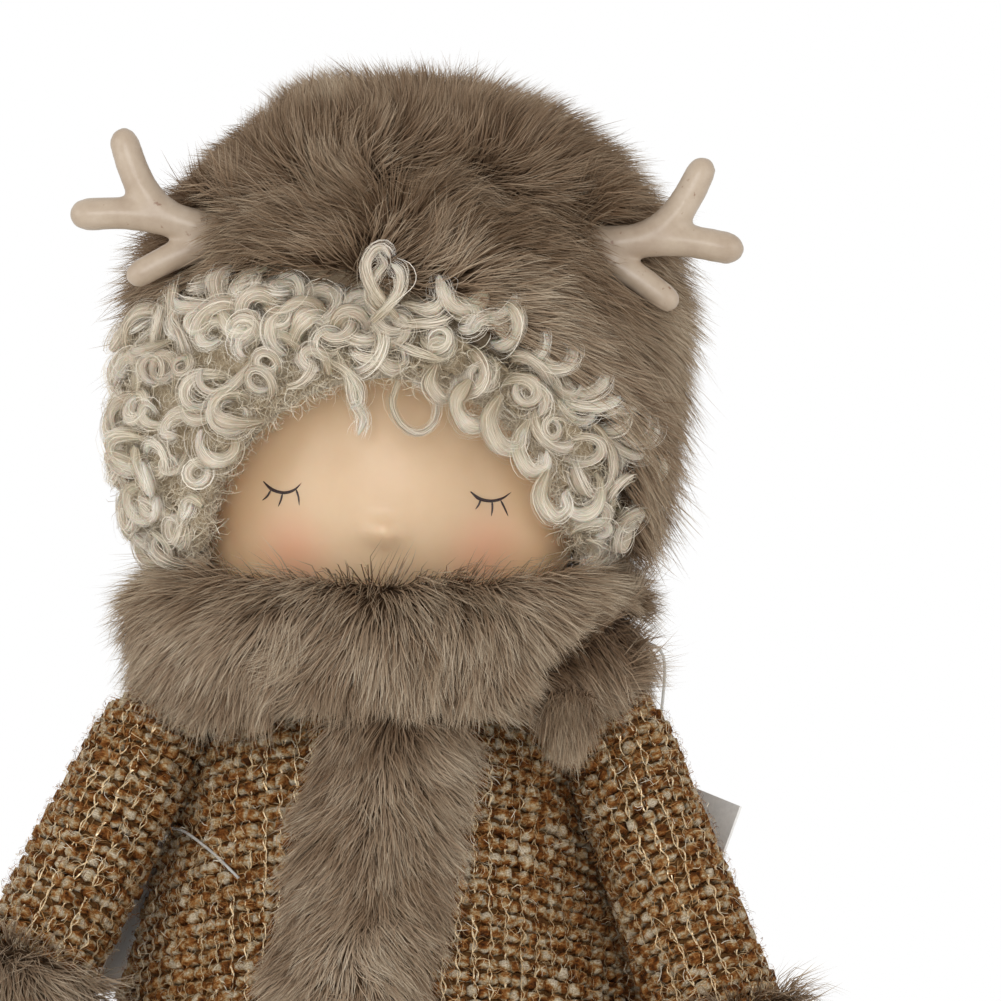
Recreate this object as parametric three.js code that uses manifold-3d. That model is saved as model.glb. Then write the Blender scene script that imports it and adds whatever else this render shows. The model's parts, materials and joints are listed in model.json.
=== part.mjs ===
// A standing winter doll: a hard moulded head with a curly wig, a fur hat and two antlers, on a stuffed
// body in a flared coat with a fur scarf, fur edges, jointed arms and weighted boots.
// Millimetres, +Z up. The doll faces -Y, and left and right are the doll's own: its left is +X.
import * as THREE from "three";
import { mergeVertices } from "three/addons/utils/BufferGeometryUtils.js";
import Module from "manifold-3d";

const wasm = await Module();
wasm.setup();

// Driving sizes of the whole doll.
const seat = 0.3; // gap between pieces that touch
const centreLine = 3.3; // the body stands this far to the left of the middle of its own space
const shoulderHeight = 252;
const hemHeight = 135;

// Head and face.
const headHalf = new THREE.Vector3(36, 35, 42);
const headWall = 2.5;
const headLean = THREE.MathUtils.degToRad(3);
const neckRise = 10; // chin above the shoulders
const neckRadius = 12;
const neckLength = 8; // below the chin
const neckFlange = 1.4;
const neckFlangeHeight = 2.5;
const plugRadius = 9.2;
const dowelRadius = 5;
const dowelLength = 110;
const dowelAboveChin = 38;
const noseHalf = new THREE.Vector3(2.7, 3, 2.5);
const noseRise = 31.5; // nose above the chin
const noseOffset = -1.2;

// Wig.
const wigCapWall = 1.7;
const wigHalf = new THREE.Vector3(53, 46, 38);
const wigFullness = 2.6;
const wigShift = 0.5;
const wigRise = 54;
const curlDepth = 0.035;
const faceOpening = { x: 1.7, rise: 26.7, radius: 35.3 };

// Hat and antlers.
const hatHalf = new THREE.Vector3(57, 53, 58);
const hatBelow = 67; // half height of its lower half
const hatFullness = 2.3;
const hatCentre = new THREE.Vector3(4.9, 3, 66); // from the chin
const hatFur = 10;
const hatLining = 1.2;
const hatBackRise = 30; // lower edge at the nape, above the chin
const rimFront = new THREE.Vector3(-2.1, -50.6, 88.2); // front of the rim, from the chin
const rimSlope = { x: -0.459, y: -0.781 };
const antlerRoll = THREE.MathUtils.degToRad(4.5);
const antlerSeats = { right: new THREE.Vector3(-36, -25, 92), left: new THREE.Vector3(47.3, -25, 88.7) };
const antlerReach = 21.2; // from the seat to the end of the middle tine
const antlerStub = 13;
const antlerBeam = 3.9;
const antlerTip = 2.9;
const socketRoom = 1.8; // round the stub, in the lining and the wadding

// Coat.
const coatCloth = 2.2;
const hemAcross = 72;
const chestAcross = 37.3;
const coatDepthShare = 0.84;
const coatBelly = 0.025;
const armpitDrop = 6;
const collarRise = 9;
const collarHeight = 3;
const collarRadius = 15;
const fluteCount = 6;
const fluteDepth = 1.5;
const placketHalf = 14.5;
const placketNarrow = 0.86; // share of its width at the top
const placketFur = 8;
const placketTop = 9.5; // below the collar foot
const placketShift = { top: 4, bottom: -16 };
const hemFur = 7;
const hemBand = 13;
const tieRadius = 0.9;

// Scarf.
const scarfShift = 1.5;
const scarfReach = { across: 52, deep: 48.5 };
const scarfTop = 25; // above the chin
const scarfDrop = 3; // below the chin in front
const scarfOverShoulder = 1.5; // above the chin over the arms
const headTurnRoom = 1.4;
const tailHalf = new THREE.Vector3(7.3, 5, 9);
const tailTurn = 45; // degrees round the neck from the front
const tailDrop = 5; // its middle, below the chin

// Arms: t runs down the arm from the shoulder joint.
const shoulderAcross = 47;
const shoulderForward = 8;
const armSpread = { left: 20.5, right: 26.5 }; // degrees out to the side, as seen from the front
const armForward = 20; // degrees
const sleeveTop = 10.4;
const sleeveEnd = 11.6;
const sleeveLength = 62;
const sleeveCloth = 1.6;
const cuffReach = 18;
const cuffStart = 57;
const cuffLength = 21;
const wristRadius = 9;
const mittenLength = 44;
const mittenHalf = { across: 11.5, deep: 8 };
const cordRadius = 1;
const knotRadius = 2.3;
const discRadius = 4;
const discThickness = 1.6;
const discInset = 4.2; // sleeve surface to disc, along the joint's axis

// Legs and boots.
const legAcross = 23;
const legRadius = { ankle: 12.5, thigh: 14.5 };
const rodRadius = 2.5;
const rodIntoBody = 22;
const boardHalf = { across: 44, deep: 25 };
const boardThickness = 3;
const boardAboveHem = 15;
const soleThickness = 4;
const soleHalf = { across: 19.8, long: 32.5 };
const soleWaist = 0.1;
const bootHeight = 50;
const bootWall = 2.6;
const bootToe = 10; // middle of the foot in front of the leg
const bootFur = 3.1;
const bootBand = 10;
const weightHalf = new THREE.Vector3(11, 9.5, 6);

// Tags.
const cardSize = { wide: 24, long: 40, thick: 0.6 };
const cardHole = { radius: 1.3, across: 4, down: 6 };
const pinRadius = 0.3;

// Heights that follow from the driving sizes.
const chin = shoulderHeight + neckRise;
const armpit = shoulderHeight - armpitDrop;
const collarFoot = shoulderHeight + collarRise;
const collarTop = collarFoot + collarHeight;
const headCentre = new THREE.Vector3(0, 0, chin + headHalf.z);
const scarfTopHeight = chin + scarfTop;
const boardFoot = hemHeight + boardAboveHem;
const bodyFoot = boardFoot + boardThickness + seat;
const neckFoot = chin - neckLength;

const at = (x, y, z) => new THREE.Vector3(x, y, z);
const mix = THREE.MathUtils.lerp;
const fullTurn = 2 * Math.PI;
const degrees = THREE.MathUtils.degToRad;

// Finish of each kind of surface.
const finishes = {
  fur: { color: 0x8a7764, roughness: 0.95 },
  tweed: { color: 0x85612f, roughness: 0.95 },
  hair: { color: 0xcfc6b6, roughness: 0.85 },
  skin: { color: 0xe7c6a0, roughness: 0.45 },
  antler: { color: 0xb8a48e, roughness: 0.4 },
  cloth: { color: 0xd8d0c2, roughness: 0.9 },
  felt: { color: 0x6f5a48, roughness: 0.95 },
  wood: { color: 0xc9a97c, roughness: 0.7 },
  steel: { color: 0xa9a9aa, roughness: 0.4, metalness: 0.9 },
  plastic: { color: 0xe9e9e6, roughness: 0.4 },
  rubber: { color: 0x3a322c, roughness: 0.8 },
  paper: { color: 0xf2f1ee, roughness: 0.7 },
};

// Turns the faces of a closed geometry outwards.
function facingOut(geometry) {
  const places = geometry.attributes.position;
  const corners = geometry.index.array;
  const [a, b, c] = [at(0, 0, 0), at(0, 0, 0), at(0, 0, 0)];
  let volume = 0;
  for (let i = 0; i < corners.length; i += 3) {
    a.fromBufferAttribute(places, corners[i]);
    b.fromBufferAttribute(places, corners[i + 1]);
    c.fromBufferAttribute(places, corners[i + 2]);
    volume += a.dot(b.cross(c));
  }
  if (volume < 0) {
    for (let i = 0; i < corners.length; i += 3) {
      [corners[i + 1], corners[i + 2]] = [corners[i + 2], corners[i + 1]];
    }
  }
  return geometry;
}

// A closed solid through rings of points. The ends are capped, or the last ring is joined to the first.
function skin(rings, joined = false) {
  const count = rings[0].length;
  const points = rings.flat();
  const faces = [];
  const bands = joined ? rings.length : rings.length - 1;
  for (let ring = 0; ring < bands; ring++) {
    const low = ring * count;
    const high = ((ring + 1) % rings.length) * count;
    for (let i = 0; i < count; i++) {
      const next = (i + 1) % count;
      faces.push(low + i, low + next, high + next, low + i, high + next, high + i);
    }
  }
  if (!joined) {
    const middle = (ring) => ring.reduce((sum, p) => sum.add(p), at(0, 0, 0)).divideScalar(count);
    const first = points.length;
    const last = (rings.length - 1) * count;
    points.push(middle(rings[0]), middle(rings.at(-1)));
    for (let i = 0; i < count; i++) {
      const next = (i + 1) % count;
      faces.push(first, next, i, first + 1, last + i, last + next);
    }
  }
  const geometry = new THREE.BufferGeometry().setFromPoints(points);
  return facingOut(geometry.setIndex(faces));
}

// An upright oval ring of points. Its first point is in front.
function oval(height, across, deep, sides, x = 0, y = 0) {
  return Array.from({ length: sides }, (_, i) => {
    const angle = (i / sides) * fullTurn;
    return at(x + across * Math.sin(angle), y - deep * Math.cos(angle), height);
  });
}

// A solid turned about Z from a closed profile of [radius, height] pairs.
function turned(profile, sides = 20) {
  return skin(profile.map(([radius, height]) => oval(height, radius, radius, sides)), true);
}

// A plain round bar between two heights.
function bar(radius, low, high, sides = 16, x = 0, y = 0) {
  return skin([oval(low, radius, radius, sides, x, y), oval(high, radius, radius, sides, x, y)]);
}

// A rounded form: fullness 2 is an ellipsoid, and more is squarer. Ripple moves its surface in and out.
function roundForm(centre, half, { fullness = 2, around = 24, levels = 12, ripple = () => 0 } = {}) {
  const geometry = new THREE.SphereGeometry(1, around, levels).rotateX(Math.PI / 2);
  const places = geometry.attributes.position;
  for (let i = 0; i < places.count; i++) {
    const p = at(0, 0, 0).fromBufferAttribute(places, i);
    const wave = 1 + ripple(Math.atan2(p.y, p.x), Math.asin(THREE.MathUtils.clamp(p.z, -1, 1)));
    const powers = p.toArray().map((value) => Math.abs(value) ** fullness);
    const size = (powers[0] + powers[1] + powers[2]) ** (1 / fullness);
    p.multiplyScalar(wave / size).multiply(half).add(centre);
    places.setXYZ(i, p.x, p.y, p.z);
  }
  return geometry;
}

const grown = (half, by) => at(half.x + by, half.y + by, half.z + by);

// A tapering round rod along a curve, with round ends.
function horn(route, startRadius, endRadius, { sides = 8, steps = 5 } = {}) {
  const curve = new THREE.CatmullRomCurve3(route);
  const frames = curve.computeFrenetFrames(steps);
  const points = curve.getSpacedPoints(steps);
  const ring = (i, radius, along) =>
    Array.from({ length: sides }, (_, k) => {
      const angle = (k / sides) * fullTurn;
      return points[i]
        .clone()
        .addScaledVector(frames.normals[i], radius * Math.cos(angle))
        .addScaledVector(frames.binormals[i], radius * Math.sin(angle))
        .addScaledVector(frames.tangents[i], along);
    });
  const rings = points.map((_, i) => ring(i, mix(startRadius, endRadius, i / steps), 0));
  const round = [0.35, 0.65, 0.9].map((share) => share * (Math.PI / 2));
  rings.push(...round.map((a) => ring(steps, endRadius * Math.cos(a), endRadius * Math.sin(a))));
  rings.unshift(...round.map((a) => ring(0, startRadius * Math.cos(a), -startRadius * Math.sin(a))).reverse());
  return skin(rings);
}

// Boolean work on closed geometries.
function solid(geometry) {
  const bare = geometry.clone();
  bare.deleteAttribute("normal");
  bare.deleteAttribute("uv");
  const merged = mergeVertices(bare, 1e-4);
  return new wasm.Manifold(
    new wasm.Mesh({
      numProp: 3,
      vertProperties: merged.attributes.position.array,
      triVerts: new Uint32Array(merged.index.array),
    }),
  );
}

function shape(body) {
  const mesh = body.getMesh();
  const geometry = new THREE.BufferGeometry();
  geometry.setAttribute("position", new THREE.BufferAttribute(mesh.vertProperties, 3));
  return geometry.setIndex(new THREE.BufferAttribute(mesh.triVerts, 1));
}

const cut = (body, ...tools) => shape(tools.reduce((rest, tool) => rest.subtract(solid(tool)), solid(body)));
const join = (body, ...others) => shape(others.reduce((sum, other) => sum.add(solid(other)), solid(body)));

// A big block whose one face lies on a plane. It fills the side that the direction points to.
function halfSpace(point, direction) {
  const size = 400;
  const towards = direction.clone().normalize();
  const block = new THREE.BoxGeometry(size, size, size);
  block.applyQuaternion(new THREE.Quaternion().setFromUnitVectors(at(0, 0, 1), towards));
  const middle = point.clone().addScaledVector(towards, size / 2);
  return block.translate(middle.x, middle.y, middle.z);
}

// The lean of the head about its neck.
const neckPivot = at(0, 0, chin);
const lean = new THREE.Matrix4()
  .makeTranslation(neckPivot)
  .multiply(new THREE.Matrix4().makeRotationY(headLean))
  .multiply(new THREE.Matrix4().makeTranslation(neckPivot.clone().negate()));
const leaned = (geometry) => geometry.clone().applyMatrix4(lean);

const doll = new THREE.Group();
doll.position.x = centreLine;

function add(name, geometry, finish, group = doll) {
  const material = new THREE.MeshStandardMaterial(finishes[finish]);
  const mesh = new THREE.Mesh(geometry, material);
  mesh.name = name;
  group.add(mesh);
}

// Head: a hollow moulded shell with a small nose, on a flanged neck that turns in the collar.
const headForm = (by) => leaned(roundForm(headCentre, grown(headHalf, by)));
const nose = leaned(
  roundForm(at(noseOffset, 1 - headHalf.y, chin + noseRise), noseHalf, { around: 12, levels: 8 }),
);
const neck = turned([
  [0.01, headCentre.z - headHalf.z + headWall + 2],
  [neckRadius, headCentre.z - headHalf.z + headWall + 4],
  [neckRadius, neckFoot + neckFlangeHeight],
  [neckRadius + neckFlange, neckFoot + neckFlangeHeight],
  [neckRadius + neckFlange, neckFoot],
  [0.01, neckFoot],
], 24);
const neckBoreTop = chin + 24;
add(
  "head_shell",
  cut(
    join(headForm(0), nose, neck),
    leaned(roundForm(headCentre, grown(headHalf, -headWall), { around: 18, levels: 10 })),
    bar(plugRadius + seat, neckFoot - 1, chin + 12, 20),
  ),
  "skin",
);
add(
  "neck_plug",
  cut(
    bar(plugRadius, neckFoot + seat, neckBoreTop - 14, 20),
    bar(dowelRadius + seat, neckFoot - 1, neckBoreTop, 16),
  ),
  "plastic",
);
const dowelTop = chin + dowelAboveChin;
const dowelFoot = dowelTop - dowelLength;
add("neck_dowel", bar(dowelRadius, dowelFoot, dowelTop, 16), "wood");

// Wig: a thin cap on the head, and the mass of curls below the hat.
const chinPoint = (p) => at(p.x, p.y, p.z + chin);
const rimNormal = at(-rimSlope.x, -rimSlope.y, 1).normalize();
const rimPoint = chinPoint(rimFront);
const belowRim = halfSpace(rimPoint, rimNormal.clone().negate());
const aboveRim = halfSpace(rimPoint.clone().addScaledVector(rimNormal, -seat), rimNormal);
const hairFoot = scarfTopHeight + headTurnRoom;
const belowHair = halfSpace(at(0, 0, hairFoot), at(0, 0, -1));
const windowDepth = 90;
const faceWindow = new THREE.CylinderGeometry(faceOpening.radius, faceOpening.radius, windowDepth, 28);
faceWindow.translate(faceOpening.x, -windowDepth / 2, chin + faceOpening.rise);
const capOut = seat + wigCapWall;
add("wig_cap", cut(headForm(capOut), headForm(seat), faceWindow, belowHair), "cloth");
const curls = (turn, rise) => curlDepth * Math.sin(7 * turn + 1) * Math.cos(6 * rise);
const wigForm = roundForm(at(wigShift, 0, chin + wigRise), wigHalf, {
  fullness: wigFullness,
  around: 30,
  levels: 14,
  ripple: curls,
});
add("curly_wig", cut(wigForm, headForm(capOut + seat), faceWindow, belowHair, aboveRim), "hair");

// Antlers: a curved beam with a forward tine and a low tine, on a stub that sits in the hat.
function antlerPlace(side, out, up, back = 0) {
  const seatPoint = chinPoint(side > 0 ? antlerSeats.left : antlerSeats.right);
  return at(side * out, back, up).applyAxisAngle(at(0, 1, 0), antlerRoll).add(seatPoint);
}
const stubRoute = [[-antlerStub, -1, 5], [-4, -0.6, 1], [4, 0.6]];
function antler(side, by) {
  // The tines are drawn in shares of the reach.
  const route = (places) => places.map((p) => antlerPlace(side, ...p.map((share) => share * antlerReach)));
  const stub = stubRoute.map((p) => antlerPlace(side, ...p));
  const beam = [...stub, ...route([[0.45, 0.22], [0.6, 0.47], [0.7, 0.71]])];
  const middle = route([[0.14, 0.01], [0.57, 0.06], [1, 0.02]]);
  const low = route([[-0.24, -0.11, 0.05], [0.165, -0.3], [0.47, -0.49]]);
  return join(
    horn(beam, antlerBeam + by, antlerTip + by, { steps: 8 }),
    horn(middle, antlerTip + 0.3 + by, antlerTip + 0.3 + by),
    horn(low, antlerTip + 0.2 + by, antlerTip - 0.2 + by),
  );
}
function antlerSocket(side) {
  const route = stubRoute.map((p) => antlerPlace(side, ...p));
  return horn(route, antlerBeam + socketRoom, antlerBeam + socketRoom, { steps: 2 });
}
const sides = { left: 1, right: -1 };

// Hat: fur crown, lining and the wadding that lifts the crown off the head.
const hatMiddle = chinPoint(hatCentre);
function hatForm(by) {
  const form = roundForm(at(0, 0, 0), grown(hatHalf, by), { fullness: hatFullness, around: 26 });
  const places = form.attributes.position;
  for (let i = 0; i < places.count; i++) {
    const height = places.getZ(i);
    if (height < 0) places.setZ(i, (height * (hatBelow + by)) / (hatHalf.z + by));
  }
  return form.rotateY(headLean).translate(hatMiddle.x, hatMiddle.y, hatMiddle.z);
}
const belowHat = halfSpace(at(0, 0, chin + hatBackRise), at(0, 0, -1));
const antlerHoles = Object.values(sides).map((side) => antler(side, seat));
const sockets = Object.values(sides).map(antlerSocket);
add("hat_crown", cut(hatForm(0), hatForm(-hatFur), belowRim, belowHat, ...antlerHoles), "fur");
const liningOut = -hatFur - seat;
const liningIn = liningOut - hatLining;
add("hat_lining", cut(hatForm(liningOut), hatForm(liningIn), belowRim, belowHat, ...sockets), "cloth");
add(
  "hat_wadding",
  cut(hatForm(liningIn - seat), headForm(capOut + seat), belowRim, belowHat, ...sockets),
  "cloth",
);
for (const [name, side] of Object.entries(sides)) add(`antler_${name}`, antler(side, 0), "antler");

// Coat: a flared shell with soft flutes at the hem and a small upright collar.
function coatAcross(height) {
  const down = (armpit - height) / (armpit - hemHeight);
  return chestAcross + (hemAcross - chestAcross) * (down + coatBelly * Math.sin(Math.PI * down));
}

// A point of the coat's surface, moved out by a distance. Level 0 is the hem, 1 the armpit, 2 the collar foot.
function coatPoint(level, angle, out) {
  const turn = Math.max(0, level - 1) * (Math.PI / 2);
  const skirt = Math.min(level, 1);
  const skirtHeight = mix(hemHeight, armpit, skirt);
  const height = skirtHeight + (collarFoot - armpit + out) * Math.sin(turn);
  const flute = fluteDepth * (1 - skirt) ** 2 * Math.cos(fluteCount * angle);
  const half = coatAcross(skirtHeight);
  const across = mix(collarRadius, half, Math.cos(turn)) + flute + out;
  const deep = mix(collarRadius, half * coatDepthShare, Math.cos(turn)) + flute + out;
  return at(across * Math.sin(angle), -deep * Math.cos(angle), height);
}
const coatSides = 30;
const coatRing = (level, out) =>
  Array.from({ length: coatSides }, (_, i) => coatPoint(level, (i / coatSides) * fullTurn, out));
const levelAt = (height) => (height - hemHeight) / (armpit - hemHeight);
const coatLevels = [0, 0.12, 0.3, 0.5, 0.75, 1, 1.25, 1.5, 1.75, 2];
const collarRing = (out) => oval(collarTop, collarRadius + out, collarRadius + out, coatSides);
const coatForm = (out) => skin([...coatLevels.map((level) => coatRing(level, out)), collarRing(out)]);
const cordHole = (radius, reach) =>
  new THREE.CylinderGeometry(radius, radius, 2 * reach, 8)
    .rotateZ(Math.PI / 2)
    .translate(0, -shoulderForward, shoulderHeight);
const neckRecess = bar(neckRadius + neckFlange + 0.6, neckFoot - seat, collarTop + 5, 24);
add(
  "coat_body",
  cut(
    skin(
      [
        ...coatLevels.map((level) => coatRing(level, 0)),
        collarRing(0),
        collarRing(-coatCloth),
        ...coatLevels.toReversed().map((level) => coatRing(level, -coatCloth)),
      ],
      true,
    ),
    cordHole(cordRadius + seat, shoulderAcross),
  ),
  "tweed",
);
const bodyLevels = [levelAt(bodyFoot), 0.3, 0.5, 0.75, 1, 1.25, 1.5, 1.75, 2];
const bodyOut = -coatCloth - seat;
const rodTop = bodyFoot + rodIntoBody;
const legSides = Object.entries(sides).map(([name, side]) => [name, side * legAcross]);
add(
  "torso_stuffing",
  cut(
    skin(bodyLevels.map((level) => coatRing(level, bodyOut))),
    neckRecess,
    bar(dowelRadius + seat, dowelFoot - seat, collarTop, 16),
    cordHole(cordRadius + seat, shoulderAcross),
    ...legSides.map(([, x]) => bar(rodRadius + seat, bodyFoot - 5, rodTop + seat, 12, x)),
  ),
  "cloth",
);
const tieAcross = collarRadius + seat + tieRadius;
const tieHeight = (collarFoot + collarTop) / 2 + 0.2;
const ringSection = (radius, high, middle, height, count = 8) =>
  Array.from({ length: count }, (_, i) => {
    const angle = (i / count) * fullTurn;
    return [middle + radius * Math.cos(angle), height + high * Math.sin(angle)];
  });
add("neck_tie", turned(ringSection(tieRadius, tieRadius, tieAcross, tieHeight, 6), 24), "plastic");

// Fur down the front of the coat. It leans to the doll's right as it goes down.
const placketFoot = hemHeight + hemBand + 1;
const placketHead = collarFoot - placketTop;
function placketSection(height) {
  const yoke = THREE.MathUtils.clamp((height - armpit) / (collarFoot - armpit), 0, 1);
  const level = Math.min(levelAt(height), 1) + Math.asin(yoke) / (Math.PI / 2);
  const down = (placketHead - height) / (placketHead - hemHeight);
  const sweep = 0.5 * down + 0.5 * Math.sin((down * Math.PI) / 2);
  const middle = mix(placketShift.top, placketShift.bottom, sweep);
  const wide = placketHalf * mix(1, placketNarrow, yoke);
  const around = coatAcross(Math.min(height, armpit));
  const angleOf = (x) => Math.asin(THREE.MathUtils.clamp(x / around, -0.95, 0.95));
  const shares = [-1, -0.86, -0.5, 0, 0.5, 0.86, 1];
  const outer = shares.map((u) =>
    coatPoint(level, angleOf(middle + wide * u), seat + 0.8 + (placketFur - 0.8) * Math.sqrt(1 - u * u)),
  );
  const inner = [0.86, 0.5, 0, -0.5, -0.86].map((u) => coatPoint(level, angleOf(middle + wide * u), -1));
  return [...outer, ...inner];
}
const placketSteps = 12;
const placketHeight = (i) => mix(placketFoot, placketHead, i / placketSteps);
const placketForm = skin(Array.from({ length: placketSteps + 1 }, (_, i) => placketSection(placketHeight(i))));
add("coat_placket", cut(placketForm, coatForm(seat)), "fur");

// Fur band round the hem.
const hemSection = [
  [-1, 0],
  [-3, seat + hemFur * 0.5],
  [0, seat + hemFur * 0.9],
  [hemBand * 0.5, seat + hemFur],
  [hemBand * 0.85, seat + hemFur * 0.7],
  [hemBand, 0],
];
const hemForm = skin(
  Array.from({ length: coatSides }, (_, i) =>
    hemSection.map(([rise, out]) => {
      const p = coatPoint(levelAt(hemHeight + Math.max(rise, 0)), (i / coatSides) * fullTurn, out);
      return at(p.x, p.y, hemHeight + rise);
    }),
  ),
  true,
);
add("hem_trim", cut(hemForm, coatForm(seat)), "fur");

// Scarf: a thick fur band round the neck that lifts over the shoulders.
function scarfFoot(angle) {
  // The angle is 0 in front. The arms pass below the band at the sides.
  const side = Math.abs(((angle / Math.PI + 1) % 2) - 1) * 180;
  const front = THREE.MathUtils.smoothstep(side, 30, 50);
  const back = 1 - THREE.MathUtils.smoothstep(side, 105, 135);
  return chin + mix(-scarfDrop, scarfOverShoulder, Math.min(front, back));
}
function scarfOut(angle) {
  return 1 / Math.hypot(Math.sin(angle) / scarfReach.across, Math.cos(angle) / scarfReach.deep);
}
function scarfSection(angle, by) {
  const foot = scarfFoot(angle);
  const headRadius = (height) => headHalf.x * Math.sqrt(1 - ((height - headCentre.z) / headHalf.z) ** 2);
  const inner = (height) => headRadius(height) + headTurnRoom - by;
  const reach = scarfOut(angle);
  const section = [
    [inner(scarfTopHeight - 4), scarfTopHeight - 4],
    [inner(scarfTopHeight) + 1.5, scarfTopHeight - 0.8 + by],
    [reach - 10, scarfTopHeight - 0.3 + by],
    [reach - 2.5 + by, scarfTopHeight - 4 + by],
    [reach + by, mix(foot, scarfTopHeight, 0.55)],
    [reach - 1 + by, foot + 5],
    [reach - 4 + by, foot + 1 - by],
    [reach - 12, foot - by],
    [inner(chin + 4.5) + 5, Math.max(foot, chin - 1) - by],
    [inner(chin + 4.5), chin + 4.5],
    [inner(chin + 12), chin + 12],
  ];
  return section.map(([radius, height]) =>
    at(scarfShift + radius * Math.sin(angle), -radius * Math.cos(angle), height),
  );
}
const scarfSteps = 32;
const scarfForm = (by) =>
  skin(Array.from({ length: scarfSteps }, (_, i) => scarfSection((i / scarfSteps) * fullTurn, by)), true);
add("scarf_loop", scarfForm(0), "fur");
const tailCentre = at(
  scarfShift + scarfOut(degrees(tailTurn)) * Math.sin(degrees(tailTurn)),
  -scarfOut(degrees(tailTurn)) * Math.cos(degrees(tailTurn)),
  -tailDrop,
);
add(
  "scarf_tail",
  cut(
    roundForm(chinPoint(tailCentre), tailHalf, { fullness: 2.6, around: 14, levels: 10 }),
    scarfForm(seat),
    halfSpace(at(0, 0, chin), at(0, 0, 1)),
  ),
  "fur",
);

// The elastic cord that ties the two arms through the body, with a knot outside each arm's disc.
const discFace = shoulderAcross - sleeveTop + discInset;
const cordReach = discFace + discThickness + seat;
const knot = [
  [cordRadius, 0],
  [knotRadius, 0],
  [knotRadius, 2.4],
  [0.01, 3],
];
const halfCord = [[0.01, 0], [cordRadius, 0], ...knot.map(([radius, z]) => [radius, z + cordReach])];
const cordProfile = [
  ...halfCord.toReversed().map(([radius, z]) => [radius, -z]),
  ...halfCord.slice(2),
].filter(([radius]) => radius > 0);
add(
  "shoulder_cord",
  skin(cordProfile.map(([radius, z]) => oval(z, radius, radius, 12)))
    .rotateY(Math.PI / 2)
    .translate(0, -shoulderForward, shoulderHeight),
  "cloth",
);

// Arms.
function mitten(side) {
  const palm = [
    [0, wristRadius, wristRadius],
    [0.3, wristRadius - 0.6, wristRadius - 1.4],
    [0.5, mittenHalf.across - 1, mittenHalf.deep],
    [0.7, mittenHalf.across, mittenHalf.deep],
    [0.88, mittenHalf.across - 1.6, mittenHalf.deep - 1],
    [0.97, mittenHalf.across - 5, mittenHalf.deep - 3.4],
    [1, mittenHalf.across - 9, mittenHalf.deep - 6.2],
  ];
  const start = sleeveLength + seat;
  const hand = skin(palm.map(([share, across, deep]) => oval(-start - share * mittenLength, deep, across, 16)));
  const thumb = horn(
    [at(0, -3, -start - 17), at(0, -9, -start - 22), at(0, -12.5, -start - 28)],
    4.2,
    3.4,
    { sides: 8, steps: 3 },
  );
  return join(hand, thumb).rotateZ(side * 0.5);
}

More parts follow.
